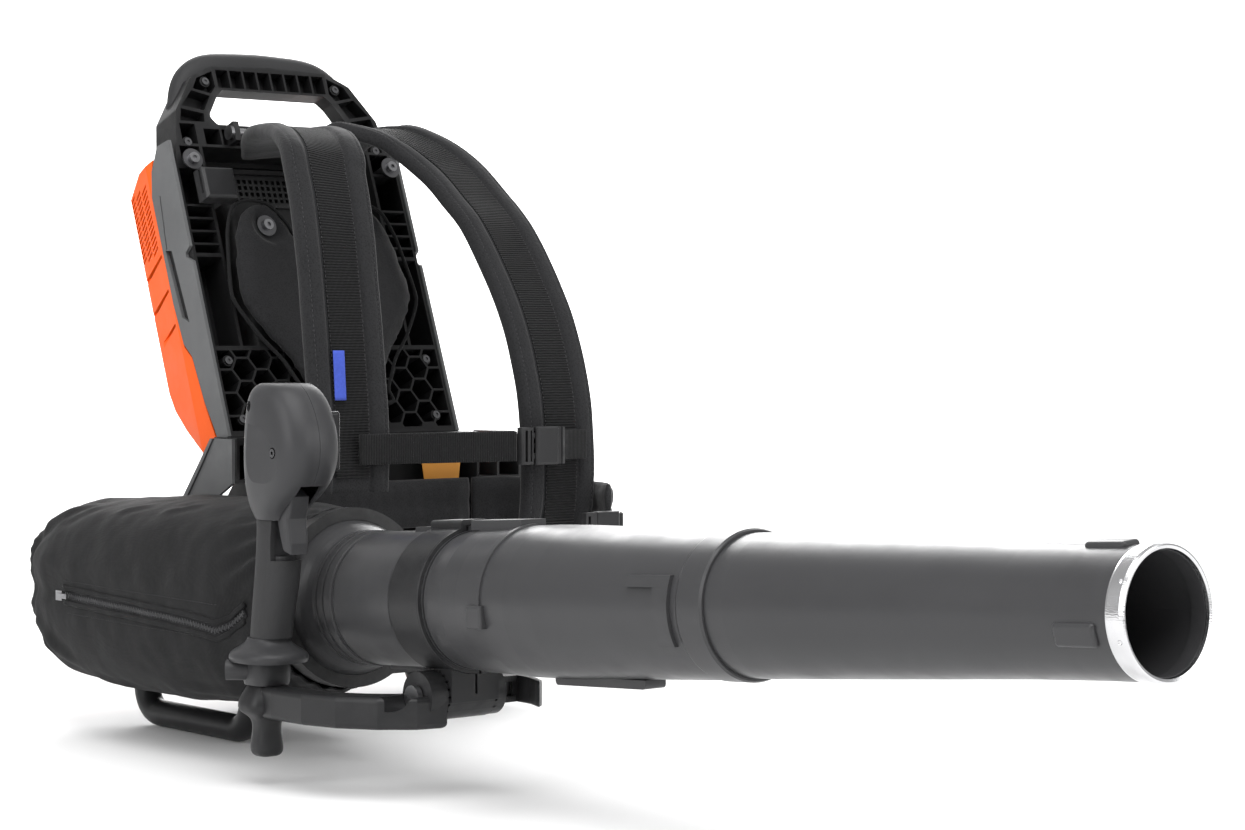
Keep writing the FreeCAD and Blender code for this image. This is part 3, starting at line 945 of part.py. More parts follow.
def soft_nodes():
    put("shoulder_strap_right", strap_solid(NEAR_LINE))
    put("shoulder_strap_left", strap_solid(FAR_LINE))
    # back pad: butterfly shape, wide at the middle and narrow at the bottom
    pad_half = [(16, 172), (40, 205), (70, 206), (84, 196), (92, 160), (98, 122), (90, 98), (62, 60), (46, 30), (40, 14)]
    outline = pad_half + [(-x, z) for x, z in reversed(pad_half)]
    pad = prism_xz(outline, -24, -5)
    pad = rounded(pad, 7.0, lambda e: e.CenterOfMass.y < -23.9)
    pad = cut_all(pad, [cyl((s * 48.0, -30, 182), (0, 1, 0), 11.0, 16) for s in (-1, 1)]
                  + [cyl((s * 48.0, -30, 182), (0, 1, 0), 6.4, 40) for s in (-1, 1)])
    put("back_pad", lean(pad))
    # chest strap: two webbings, a ladder tongue and a side-release socket
    z0, z1 = 225.5, 250.5
    webs = []
    webs.append(prism_xy([(-100, -162.5), (-60, -164.5), (0, -178), (43, -187), (43, -188.9),
                                     (0, -180), (-60, -166.6), (-100, -164.6)], z0, z1))
    webs.append(prism_xy([(90.8, -187.0), (100, -184.6), (120, -182.8), (120, -184.7),
                                    (100, -186.6), (90.8, -188.9)], z0, z1))
    socket = box(60, 84, -194, -184.5, 222, 254)
    socket = rounded(socket, 2.5, lambda e: along(e, (0, 0, 1)) or e.CenterOfMass.y < -193)
    window = [box(62, 80, -195, -190.8, 229, 231.4), box(62, 80, -195, -190.8, 244.6, 247)]
    throat = box(59, 78, -191.6, -186.8, 226, 250)
    bar = [box(83.5, 89, -192, -190.4, 222.5, 253.5), box(88, 90.5, -193, -185.5, 222.5, 253.5),
           box(83.5, 89, -187.4, -185.8, 222.5, 253.5)]
    chest_socket = fuse_all([socket.cut(throat)] + bar).cut(box(85.5, 87.9, -190.3, -187.5, 225, 251))
    prongs = [box(58, 77, -191.2, -187.2, z, z + 4.5) for z in (227.2, 244.3)]
    spine = box(58, 74, -190.4, -188, 236.5, 239.5)
    head = rounded(box(45.5, 58.2, -193, -185.6, 222.5, 253.5), 2.0, lambda e: e.CenterOfMass.y < -192)
    slots = [box(48.5, 51.0, -194, -185, 225, 251), box(54.0, 55.6, -194, -185, 225, 251)]
    chest_tongue = cut_all(fuse_all(prongs + [spine, head]), slots)
    # hip belt: padded wings that come forward from the base, with a webbing and a buckle
    left_wing = prism_xy([(112, -26), (150, -30), (160, -60), (162, -120), (152, -180), (136, -204),
                          (128, -196), (141, -172), (149, -120), (147, -66), (138, -44), (112, -40)],
                         162, 204)
    left_wing = rounded(left_wing, 4.0, lambda e: not along(e, (0, 0, 1)))

    right_wing = prism_xy([(-84, -26), (-84, -40), (-110, -44), (-124, -66), (-128, -110),
                           (-123, -134), (-134, -137), (-141, -108), (-137, -60), (-118, -30)],
                          210, 246)
    right_wing = rounded(right_wing, 4.0, lambda e: not along(e, (0, 0, 1)))
    lumbar = rounded(box(-80, 108, -44, -25.2, 162, 204), 6.0, lambda e: e.CenterOfMass.y < -43.9)
    put("hip_belt", Part.makeCompound([left_wing, right_wing, lumbar]))
    buckle = box(108, 132, -216, -207, 156, 182)
    buckle = rounded(buckle, 2.2, lambda e: along(e, (0, 0, 1)) or e.CenterOfMass.y < -215)
    hip_socket = buckle.cut(box(107, 126, -213.8, -209.4, 159.5, 178.5))
    tongue = fuse_all([box(107.2, 124, -213.2, -210, 160.5, 164.5), box(107.2, 124, -213.2, -210, 173.5, 177.5),
                       box(96, 107.5, -214.6, -208.6, 156.5, 181.5)])
    hip_tongue = tongue.cut(box(98.5, 101.0, -216, -207, 159.5, 178.5))
    put("buckle_sockets", Part.makeCompound([chest_socket, hip_socket]))
    put("buckle_tongues", Part.makeCompound([chest_tongue, hip_tongue]))
    webs.append(prism_xy([(132.3, -211.2), (142, -207), (150, -196), (148.6, -195), (141, -205.4),
                             (132.3, -209.2)], 158.5, 179.5))
    # lifter strap with its buckle on the right rail, lower webbings to the base
    lifter = lean(rounded(box(-104, -72, -19, -4, 206, 235), 3.0, lambda e: e.CenterOfMass.y < -18.5)
                  .cut(box(-110, -60, -14, -11.6, 212, 234)))
    webs.append(lean(box(-103, -70, -13.6, -12.0, 212.4, 233.6)))
    webs.append(prism_yz([(-169.5, 139.6), (-171.1, 139.6), (-27.3, 60), (-24.3, 60), (-24.3, 63)], 91.5, 116.5))
    put("webbing_straps", Part.makeCompound(webs))
    slots = [box(90.8, 117.2, -180, -160, z, z + 2.0) for z in (146.2, 151.6)]
    put("strap_adjusters", Part.makeCompound([lifter, cut_all(box(88, 120, -176, -164, 140, 156), slots)]))


frame_nodes()
base_nodes()
fan_nodes()
bag_nodes()
tube_nodes()
clamp_nodes()
handle_nodes()
soft_nodes()

for node, shape in NODES.items():
    shape.translate(ORIGIN * -1.0)
    shape.exportStep("parts/" + node + ".step")
    b = shape.BoundBox
    print(f"{node:24s} solids {len(shape.Solids):3d} valid {shape.isValid()} volume {shape.Volume:12.1f} "
          f"x {b.XMin:8.1f} {b.XMax:8.1f} y {b.YMin:8.1f} {b.YMax:8.1f} z {b.ZMin:8.1f} {b.ZMax:8.1f}")
print(len(NODES), "nodes")
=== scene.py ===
import math

import bmesh
import bpy
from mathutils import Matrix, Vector, noise


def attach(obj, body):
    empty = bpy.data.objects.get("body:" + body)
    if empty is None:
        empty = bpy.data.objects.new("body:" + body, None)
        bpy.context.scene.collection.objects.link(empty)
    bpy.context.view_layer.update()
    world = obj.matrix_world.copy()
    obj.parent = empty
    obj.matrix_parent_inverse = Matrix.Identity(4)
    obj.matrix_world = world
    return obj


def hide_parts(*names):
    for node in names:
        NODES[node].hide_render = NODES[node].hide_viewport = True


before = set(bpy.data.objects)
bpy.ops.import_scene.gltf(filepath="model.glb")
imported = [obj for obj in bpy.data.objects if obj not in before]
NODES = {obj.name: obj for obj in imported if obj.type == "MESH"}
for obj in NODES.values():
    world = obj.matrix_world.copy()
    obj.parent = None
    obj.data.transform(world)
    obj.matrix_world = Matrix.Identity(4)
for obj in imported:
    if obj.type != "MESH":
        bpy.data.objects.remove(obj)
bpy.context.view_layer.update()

# ------------------------------------------------------------------ drawing frame
# The part is drawn in millimetres from the machine's centre plane (x), the lower front edge
# of the back frame (y) and the floor (z); ORIGIN is where the row's own origin lies in that.
ORIGIN = Vector((-58.9325, -436.7625, 0.0))
LEAN = math.radians(20.7)
TUBE_X = -180.0                # the blower's axis, also the middle of the intake bag
FOOT_HEIGHT = 250.0            # floor to the lower front edge of the back frame


def P(x, y, z):
    """Scene point in metres of a drawing point in millimetres."""
    return (Vector((x, y, z)) - ORIGIN) / 1000.0


def lean_mm(x, d, z):
    """Point of the back frame: x across, d back from its front face, z up along its lean."""
    return Vector((x, d * math.cos(LEAN) + z * math.sin(LEAN),
                   FOOT_HEIGHT - d * math.sin(LEAN) + z * math.cos(LEAN)))


def lean(x, d, z):
    return P(*lean_mm(x, d, z))


def smoothstep(a, b, x):
    t = max(0.0, min(1.0, (x - a) / (b - a)))
    return t * t * (3.0 - 2.0 * t)


def bump_at(x, centre, width):
    return math.exp(-((x - centre) / width) ** 2)


def spline(points, count):
    """Smooth line through the points (Catmull-Rom), evenly respaced to count points."""
    pts = [Vector(p) for p in points]
    pts = [2 * pts[0] - pts[1]] + pts + [2 * pts[-1] - pts[-2]]
    fine = []
    for i in range(1, len(pts) - 2):
        a, b, c, d = pts[i - 1:i + 3]
        for k in range(24):
            t = k / 24.0
            fine.append(0.5 * (2 * b + (c - a) * t + (2 * a - 5 * b + 4 * c - d) * t * t
                               + (3 * b - a - 3 * c + d) * t ** 3))
    fine.append(pts[-2])
    reach = [0.0]
    for p, q in zip(fine, fine[1:]):
        reach.append(reach[-1] + (q - p).length)
    out = []
    j = 0
    for i in range(count):
        target = reach[-1] * i / (count - 1)
        while j < len(reach) - 2 and reach[j + 1] < target:
            j += 1
        span = reach[j + 1] - reach[j]
        t = (target - reach[j]) / span if span > 0 else 0.0
        out.append(fine[j].lerp(fine[j + 1], t))
    return out


def length_of(line):
    return sum((q - p).length for p, q in zip(line, line[1:]))


# ------------------------------------------------------------------ materials
class Tree:
    """Small helper that adds and links shader nodes."""

    def __init__(self, name):
        self.material = bpy.data.materials.new(name)
        self.material.use_nodes = True
        self.nodes = self.material.node_tree.nodes
        self.links = self.material.node_tree.links
        self.shader = self.nodes["Principled BSDF"]

    def add(self, kind, inputs=None, **settings):
        n = self.nodes.new(kind)
        for key, value in settings.items():
            setattr(n, key, value)
        for key, value in (inputs or {}).items():
            if isinstance(value, bpy.types.NodeSocket):
                self.links.new(value, n.inputs[key])
            else:
                n.inputs[key].default_value = value
        return n

    def place(self):
        if not hasattr(self, "_place"):
            self._place = self.add("ShaderNodeTexCoord").outputs["Object"]
        return self._place

    def uv(self):
        return self.add("ShaderNodeTexCoord").outputs["UV"]

    def noise(self, scale, detail=3.0, rough=0.55, vector=None):
        return self.add("ShaderNodeTexNoise", {"Vector": vector or self.place(), "Scale": scale,
                                               "Detail": detail, "Roughness": rough}).outputs["Fac"]

    def math(self, kind, a, b=0.5, c=0.5):
        return self.add("ShaderNodeMath", {0: a, 1: b, 2: c}, operation=kind).outputs[0]

    def span(self, value, low, high, to_low, to_high):
        n = self.add("ShaderNodeMapRange", {"Value": value, "From Min": low, "From Max": high,
                                            "To Min": to_low, "To Max": to_high})
        return n.outputs["Result"]

    def mix(self, factor, a, b):
        n = self.add("ShaderNodeMix", {"Factor": factor}, data_type="RGBA")
        for socket, value in ((n.inputs[6], a), (n.inputs[7], b)):
            if isinstance(value, bpy.types.NodeSocket):
                self.links.new(value, socket)
            else:
                socket.default_value = (*value, 1.0)
        return n.outputs[2]

    def bump(self, height, distance, strength=1.0, normal=None):
        inputs = {"Height": height, "Distance": distance, "Strength": strength}
        if normal is not None:
            inputs["Normal"] = normal
        return self.add("ShaderNodeBump", inputs).outputs["Normal"]

    def drive(self, socket, value):
        if isinstance(value, bpy.types.NodeSocket):
            self.links.new(value, self.shader.inputs[socket])
        else:
            self.shader.inputs[socket].default_value = value


def shade(colour, factor):
    return tuple(max(0.0, min(1.0, c * factor)) for c in colour)


def moulded(name, colour, rough=0.5, grain=900.0, depth=0.00006, worn=0.35, patch=0.12, specular=0.26):
    """Injection-moulded plastic: spark-eroded grain, faint flow patches, lighter rubbed edges."""
    t = Tree(name)
    flow = t.noise(9.0, 4.0)
    fine = t.noise(grain, 2.0, 0.6)
    base = t.mix(t.span(flow, 0.3, 0.7, 0.0, 1.0), shade(colour, 1.0 - patch), shade(colour, 1.0 + patch))
    speck = t.span(t.noise(260.0, 3.0), 0.62, 0.78, 0.0, 0.22)
    base = t.mix(speck, base, shade(colour, 1.25))
    edge = t.add("ShaderNodeNewGeometry").outputs["Pointiness"]
    rub = t.math("MULTIPLY", t.span(edge, 0.52, 0.62, 0.0, 1.0), t.span(t.noise(70.0), 0.35, 0.7, 0.2, 1.0))
    rub = t.math("MULTIPLY", rub, worn)
    lighter = tuple(min(1.0, c * 1.5 + 0.05) for c in colour)
    t.drive("Base Color", t.mix(rub, base, lighter))
    t.drive("Roughness", t.span(t.noise(38.0, 3.0), 0.3, 0.7, rough - 0.06, rough + 0.06))
    t.drive("Specular IOR Level", specular)
    t.drive("Normal", t.bump(fine, depth))
    return t.material


def woven(name, colour, thread=0.0009, depth=0.00012, rough=0.88, sheen=0.25, crumple=0.0):
    """Coated plain-weave cloth: two thread directions, uneven dye and a soft sheen."""
    t = Tree(name)
    waves = [t.add("ShaderNodeTexWave", {"Vector": t.place(), "Scale": 2 * math.pi / (20.0 * thread),
                                         "Distortion": 0.6,
                                         "Detail": 1.0}, bands_direction=axis).outputs["Fac"]
             for axis in "XYZ"]
    weave = t.math("ADD", t.math("ADD", waves[0], waves[1]), waves[2])
    patch = t.noise(14.0, 4.0)
    fleck = t.noise(420.0, 2.0)
    base = t.mix(t.span(patch, 0.3, 0.7, 0.0, 1.0), shade(colour, 0.82), shade(colour, 1.18))
    base = t.mix(t.span(fleck, 0.45, 0.75, 0.0, 0.4), base, shade(colour, 1.5))
    t.drive("Base Color", base)
    t.drive("Roughness", t.span(patch, 0.3, 0.7, rough - 0.05, rough + 0.05))
    t.drive("Sheen Weight", sheen)
    t.drive("Sheen Roughness", 0.45)
    t.drive("Specular IOR Level", 0.12)
    soft = t.bump(t.noise(55.0, 4.0), 0.0006 + crumple)
    t.drive("Normal", t.bump(weave, depth, 1.0, soft))
    return t.material


def ribbed(name, colour, across=0.0021, depth=0.00035, rough=0.82):
    """Webbing or ribbed elastic: cross ribs along the strap's own length, with fine threads."""
    t = Tree(name)
    uv = t.uv()
    split = t.add("ShaderNodeSeparateXYZ", {"Vector": uv})
    wobble = t.math("MULTIPLY", t.noise(160.0, 2.0), 0.0006)
    along = t.math("ADD", split.outputs["Y"], wobble)
    rib = t.math("SINE", t.math("MULTIPLY", along, 2 * math.pi / across), 0.0)
    thread = t.math("SINE", t.math("MULTIPLY", split.outputs["X"], 2 * math.pi / 0.0012), 0.0)
    both = t.math("ADD", rib, t.math("MULTIPLY", thread, 0.35))
    base = t.mix(t.span(rib, -1.0, 1.0, 0.0, 1.0), shade(colour, 0.7), shade(colour, 1.2))
    base = t.mix(t.span(t.noise(300.0), 0.5, 0.75, 0.0, 0.3), base, shade(colour, 1.6))
    t.drive("Base Color", base)
    t.drive("Roughness", t.span(t.noise(40.0), 0.3, 0.7, rough - 0.06, rough + 0.06))
    t.drive("Sheen Weight", 0.08)
    t.drive("Sheen Roughness", 0.4)
    t.drive("Specular IOR Level", 0.12)
    t.drive("Normal", t.bump(both, depth))
    return t.material


def mesh_cloth(name, colour, cell=620.0, depth=0.0002):
    """Spacer mesh over foam: small open cells on a soft ground."""
    t = Tree(name)
    cells = t.add("ShaderNodeTexVoronoi", {"Vector": t.place(), "Scale": cell},
                  feature="F1").outputs["Distance"]
    patch = t.noise(18.0, 4.0)
    base = t.mix(t.span(cells, 0.15, 0.5, 0.0, 1.0), shade(colour, 0.6), shade(colour, 1.15))
    base = t.mix(t.span(patch, 0.35, 0.7, 0.0, 0.35), base, shade(colour, 1.35))
    t.drive("Base Color", base)
    t.drive("Roughness", t.span(patch, 0.3, 0.7, 0.84, 0.95))
    t.drive("Sheen Weight", 0.1)
    t.drive("Sheen Roughness", 0.5)
    t.drive("Specular IOR Level", 0.1)
    soft = t.bump(t.noise(60.0, 3.0), 0.0008)
    t.drive("Normal", t.bump(cells, depth, 1.0, soft))
    return t.material


def metal(name, colour, rough=0.3, brushed=0.0, patina=0.12):
    """Plated, brushed or polished metal with faint smears and handling marks."""
    t = Tree(name)
    smear = t.noise(32.0, 5.0, 0.6)
    scratch = t.add("ShaderNodeTexWave", {"Vector": t.place(), "Scale": 220.0, "Distortion": 6.0,
                                          "Detail": 3.0,
                                          "Detail Scale": 2.0}, bands_direction="Z").outputs["Fac"]
    base = t.mix(t.span(smear, 0.3, 0.75, 0.0, 1.0), shade(colour, 1.0 + patina * 0.5),
                 shade(colour, 1.0 - patina))
    t.drive("Base Color", base)
    t.drive("Metallic", 1.0)
    t.drive("Roughness", t.span(smear, 0.3, 0.7, max(0.04, rough - 0.05), rough + 0.07))
    t.drive("Normal", t.bump(scratch, 0.00001 + 0.00004 * brushed))
    return t.material


def rubber(name, colour, rough=0.7, cell=1100.0, depth=0.0001):
    """Soft grip rubber with a fine pebble."""
    t = Tree(name)
    cells = t.add("ShaderNodeTexVoronoi", {"Vector": t.place(), "Scale": cell},
                  feature="SMOOTH_F1").outputs["Distance"]
    dust = t.noise(24.0, 4.0)
    base = t.mix(t.span(dust, 0.35, 0.7, 0.0, 1.0), shade(colour, 0.88), shade(colour, 1.2))
    t.drive("Base Color", base)
    t.drive("Roughness", t.span(dust, 0.3, 0.7, rough - 0.07, rough + 0.08))
    t.drive("Specular IOR Level", 0.35)
    t.drive("Normal", t.bump(cells, depth))
    return t.material


FRAME_BLACK = moulded("frame_black", (0.009, 0.009, 0.0095), 0.42, 1100.0, 0.00005, 0.5)
PANEL_GREY = moulded("panel_grey", (0.105, 0.107, 0.109), 0.46, 1200.0, 0.00004, 0.2)
COVER_ORANGE = moulded("cover_orange", (0.86, 0.105, 0.006), 0.4, 1400.0, 0.00002, 0.12, 0.03, 0.2)
HOUSING = moulded("housing_black", (0.013, 0.013, 0.0135), 0.45, 1000.0, 0.00006, 0.4)
TUBE = moulded("tube_satin", (0.043, 0.043, 0.045), 0.34, 1500.0, 0.000018, 0.15, 0.05)
CLAMP = moulded("clamp_charcoal", (0.017, 0.017, 0.018), 0.40, 1200.0, 0.00004, 0.35)
HANDLE = moulded("handle_charcoal", (0.036, 0.036, 0.038), 0.42, 1300.0, 0.00004, 0.25)
GLOSS_BLACK = moulded("gloss_black", (0.014, 0.014, 0.015), 0.22, 1500.0, 0.00001, 0.2)
BATTERY = moulded("battery_grey", (0.06, 0.06, 0.064), 0.5, 1000.0, 0.00006, 0.3)
GRIP = rubber("grip_rubber", (0.019, 0.019, 0.02), 0.62)
KEY = rubber("key_rubber", (0.09, 0.09, 0.095), 0.55, 1600.0, 0.00004)
SKID = moulded("skid_powder", (0.018, 0.018, 0.019), 0.4, 1800.0, 0.00004, 0.3)
STEEL = metal("bolt_steel", (0.3, 0.3, 0.31), 0.33, 0.5)
DARK_STEEL = metal("screw_steel", (0.13, 0.13, 0.135), 0.38, 0.3)
RING = metal("ring_polished", (0.62, 0.62, 0.63), 0.2, 0.4)
BRASS = metal("contact_brass", (0.75, 0.55, 0.28), 0.3, 0.3)
LAMINATE = metal("motor_laminate", (0.3, 0.3, 0.31), 0.45, 1.0)
BOARD = moulded("circuit_board", (0.015, 0.09, 0.035), 0.35, 700.0, 0.00003, 0.1)
BAG_CLOTH = woven("bag_cloth", (0.012, 0.012, 0.0125), 0.0009, 0.00006, 0.8, 0.06)
HEM_CLOTH = woven("hem_cloth", (0.011, 0.011, 0.0115), 0.0009, 0.00008, 0.82, 0.06)
STRAP_CLOTH = mesh_cloth("strap_cloth", (0.017, 0.017, 0.018))
PAD_CLOTH = mesh_cloth("pad_cloth", (0.018, 0.018, 0.019), 760.0, 0.00015)
CHANNEL = ribbed("strap_channel", (0.010, 0.010, 0.0105), 0.0023, 0.0004)
WEBBING = ribbed("webbing", (0.012, 0.012, 0.0125), 0.0016, 0.00022)
THREAD = woven("thread", (0.05, 0.05, 0.052), 0.0005, 0.00004, 0.7, 0.05)
ZIP_TAPE = ribbed("zip_tape", (0.014, 0.014, 0.015), 0.0012, 0.0001)
ZIP_TEETH = moulded("zip_teeth", (0.035, 0.035, 0.037), 0.35, 1500.0, 0.00001, 0.1)
BUCKLE = moulded("buckle_black", (0.02, 0.02, 0.021), 0.36, 1200.0, 0.00003, 0.45)
LABEL_BLUE = woven("label_blue", (0.05, 0.085, 0.42), 0.0006, 0.00005, 0.6, 0.1)
PLATE_YELLOW = moulded("plate_yellow", (0.62, 0.27, 0.05), 0.4, 900.0, 0.00001, 0.0, 0.04)
PLATE_WHITE = moulded("plate_white", (0.72, 0.72, 0.7), 0.4, 900.0, 0.00001, 0.0, 0.03)

CAD_LOOKS = {
    "back_frame": FRAME_BLACK, "side_panel_left": PANEL_GREY, "side_panel_right": PANEL_GREY,
    "carry_grip": GRIP, "rear_cover": COVER_ORANGE, "rear_centre_panel": PANEL_GREY,
    "battery_housing": HOUSING, "battery_pack": BATTERY, "battery_latch": COVER_ORANGE,
    "battery_terminals": BRASS, "controller_board": BOARD, "heat_sink": LAMINATE,
    "frame_screws": DARK_STEEL, "strap_bar": STEEL, "harness_bolts": STEEL, "harness_washers": DARK_STEEL,
    "base_shell": HOUSING, "base_flank_panel": PANEL_GREY, "skid_bars": SKID, "fan_cradle": HOUSING,
    "fan_housing_front": HOUSING, "fan_housing_rear": HOUSING, "diffuser_and_motor_can": HOUSING,
    "motor_stator": LAMINATE, "motor_rotor": LAMINATE, "motor_shaft": STEEL, "motor_bearings": STEEL,
    "impeller": CLAMP, "intake_grille": HOUSING, "zip_slider": STEEL, "ball_collar": TUBE,
    "control_tube": TUBE, "mid_tube": TUBE, "nozzle_tube": TUBE, "nozzle_ring": RING, "clamp_ring": CLAMP,
    "clamp_bolt": STEEL, "pressure_disc": CLAMP, "clamp_lever": CLAMP, "handle_arm": CLAMP,
    "handle_core": HANDLE, "grip_sleeve": GRIP, "handle_shell_outer": HANDLE, "handle_shell_inner": HANDLE,
    "handle_screws": DARK_STEEL, "keypad_bezel": GLOSS_BLACK, "power_key": KEY, "boost_key": KEY,
    "trigger": HANDLE, "trigger_pin": DARK_STEEL, "trigger_spring": STEEL,
    "buckle_sockets": BUCKLE, "buckle_tongues": BUCKLE, "strap_adjusters": BUCKLE,
    "shoulder_strap_right": STRAP_CLOTH, "shoulder_strap_left": STRAP_CLOTH, "back_pad": PAD_CLOTH,
    "hip_belt": PAD_CLOTH, "webbing_straps": WEBBING, "intake_bag": BAG_CLOTH,
}
for node_name, look in CAD_LOOKS.items():
    for s in NODES[node_name].material_slots:
        s.material = look


# ------------------------------------------------------------------ mesh helpers
def piece(name, verts, faces, material, body, uvs=None, smooth=True):
    """A mesh piece from points in drawing millimetres, riding on a CAD body."""
    mesh = bpy.data.meshes.new(name)
    mesh.from_pydata([P(*v) for v in verts], [], faces)
    if uvs is not None:
        layer = mesh.uv_layers.new(name="UVMap")
        for loop in mesh.loops:
            layer.data[loop.index].uv = uvs[loop.vertex_index]
    for polygon in mesh.polygons:
        polygon.use_smooth = smooth
    mesh.materials.append(material)
    mesh.validate()
    bm = bmesh.new()
    bm.from_mesh(mesh)
    bmesh.ops.recalc_face_normals(bm, faces=bm.faces)
    bm.to_mesh(mesh)
    bm.free()
    obj = bpy.data.objects.new(name, mesh)
    bpy.context.collection.objects.link(obj)
    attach(obj, body)
    return obj


def loft_faces(rows, cols, closed=True, caps=True):
    faces = []
    wrap = cols if closed else cols - 1
    for i in range(rows - 1):
        for j in range(wrap):
            k = (j + 1) % cols
            faces.append((i * cols + j, i * cols + k, (i + 1) * cols + k, (i + 1) * cols + j))
    if caps and closed:
        faces.append(tuple(range(cols)))
        faces.append(tuple((rows - 1) * cols + j for j in reversed(range(cols))))
    return faces


def loft(name, rings, material, body, uvs=None):
    verts = [p for ring in rings for p in ring]
    return piece(name, verts, loft_faces(len(rings), len(rings[0])), material, body, uvs)


def strap_frames(line, across):
    """Unit directions (along, across, out) at each point of a strap's centre line."""
    frames = []
    for i in range(len(line)):
        along = (line[min(i + 1, len(line) - 1)] - line[max(i - 1, 0)]).normalized()
        side = (across - across.dot(along) * along).normalized()
        frames.append((along, side, side.cross(along).normalized()))
    return frames


def strap(name, line, across, section, material, body, shape=None):
    """Sweeps a closed section of (across, out) points along a line. shape(i, u, v) may change it."""
    frames = strap_frames(line, across)
    rings = []
    uvs = []
    travelled = 0.0
    for i, (p, (along, side, out)) in enumerate(zip(line, frames)):
        if i:
            travelled += (p - line[i - 1]).length
        ring = []
        for u, v in section:
            if shape:
                u, v = shape(i, u, v)
            ring.append(p + side * u + out * v)
            uvs.append((u / 1000.0, travelled / 1000.0))
        rings.append(ring)
    return loft(name, rings, material, body, uvs)


def band_section(width, thickness, steps=10):
    """Flat webbing section with softly rounded edges."""
    half = width / 2.0
    r = thickness / 2.0
    right = [(half - r + r * math.sin(a), r * math.cos(a)) for a in
             [math.pi * k / 4.0 for k in range(5)]]
    left = [(-u, -v) for u, v in right]
    top = [(-half + r + (2 * half - 2 * r) * k / steps, r) for k in range(1, steps)]
    bottom = [(-u, -v) for u, v in top]
    return top + right + bottom + left


def webbing(name, points, across, width, thickness=1.8, material=None, body="backpack", count=60):
    line = spline([Vector(p) for p in points], count)
    return strap(name, line, across, band_section(width, thickness), material or WEBBING, body)


def stitches(name, line, outward, body="backpack", pitch=4.2, long=2.6, wide=0.7, high=0.45):
    """A row of lock stitches: small lozenges laid end to end along a line on a surface."""
    verts = []
    faces = []
    total = length_of(line)
    count = max(2, int(total / pitch))
    points = respace(line, count * 2 + 1)
    for k in range(count):
        a, b = points[2 * k], points[2 * k + 2]
        mid = points[2 * k + 1]
        along = (b - a).normalized()
        out = outward(mid) if callable(outward) else outward
        side = along.cross(out).normalized()
        base = len(verts)
        for s, w, h in ((-0.5, 0.0, 0.0), (-0.2, 1.0, 0.0), (-0.2, 0.0, 1.0), (-0.2, -1.0, 0.0),
                        (0.2, 1.0, 0.0), (0.2, 0.0, 1.0), (0.2, -1.0, 0.0), (0.5, 0.0, 0.0)):
            verts.append(mid + along * (s * long) + side * (w * wide / 2) + out * (h * high))
        for f in ((0, 1, 2), (0, 2, 3), (0, 3, 1), (1, 4, 5, 2), (2, 5, 6, 3), (3, 6, 4, 1),
                  (4, 7, 5), (5, 7, 6), (6, 7, 4)):
            faces.append(tuple(base + i for i in f))
    return piece(name, verts, faces, THREAD, body)


def respace(line, count):
    reach = [0.0]
    for p, q in zip(line, line[1:]):
        reach.append(reach[-1] + (q - p).length)
    out = []
    j = 0
    for i in range(count):
        target = reach[-1] * i / (count - 1)
        while j < len(reach) - 2 and reach[j + 1] < target:
            j += 1
        span = reach[j + 1] - reach[j]
        out.append(line[j].lerp(line[j + 1], (target - reach[j]) / span if span > 0 else 0.0))
    return out


# ------------------------------------------------------------------ shoulder straps
# outer centre lines as (y, z), each with the strap's centre x and width there
NEAR_LINE = [(79, 497, -29, 50), (52, 506, -39, 62), (15, 510, -50, 74), (-30, 508.5, -63, 76),
             (-65, 503, -76, 76), (-90, 495, -86, 76), (-108, 483, -92, 77), (-119, 466, -96, 77),
             (-130, 440, -98, 77), (-141, 400, -100, 76), (-151, 330, -100, 76), (-158, 265, -100, 76),
             (-160, 203, -100, 76)]
FAR_LINE = [(79, 503, 30, 52), (50, 516, 46, 68), (22, 514, 62, 72), (0, 503, 80.5, 73),
            (-27, 482, 96, 77), (-60, 455, 100, 76), (-99, 421, 100, 76), (-146, 355, 100, 76),
            (-170, 295, 100, 76), (-178, 246, 100, 76), (-178, 195, 100, 76), (-172, 158, 100, 76)]
STRAP_HALF = 37.4
CHANNEL_HALF = 18.0


def strap_profile():
    """Half of a shoulder strap's front: ribbed channel, then a foam roll with a bound edge."""
    front = [(0.0, 4.6), (9.0, 4.6), (17.0, 4.6), (18.2, 4.2), (19.2, 5.2), (20.6, 6.7), (23.0, 7.3),
             (27.0, 7.45), (30.5, 7.2), (31.6, 6.5), (32.6, 6.7), (34.6, 6.2), (36.4, 4.4), (37.4, 1.6)]
    back = [(37.4, -1.6), (36.4, -4.6), (33.6, -6.3), (31.4, -6.2), (29.5, -7.0), (24.0, -7.3),
            (12.0, -7.0), (0.0, -6.9)]
    right = front + back
    left = [(-u, v) for u, v in reversed(right[1:-1])]
    return right + left


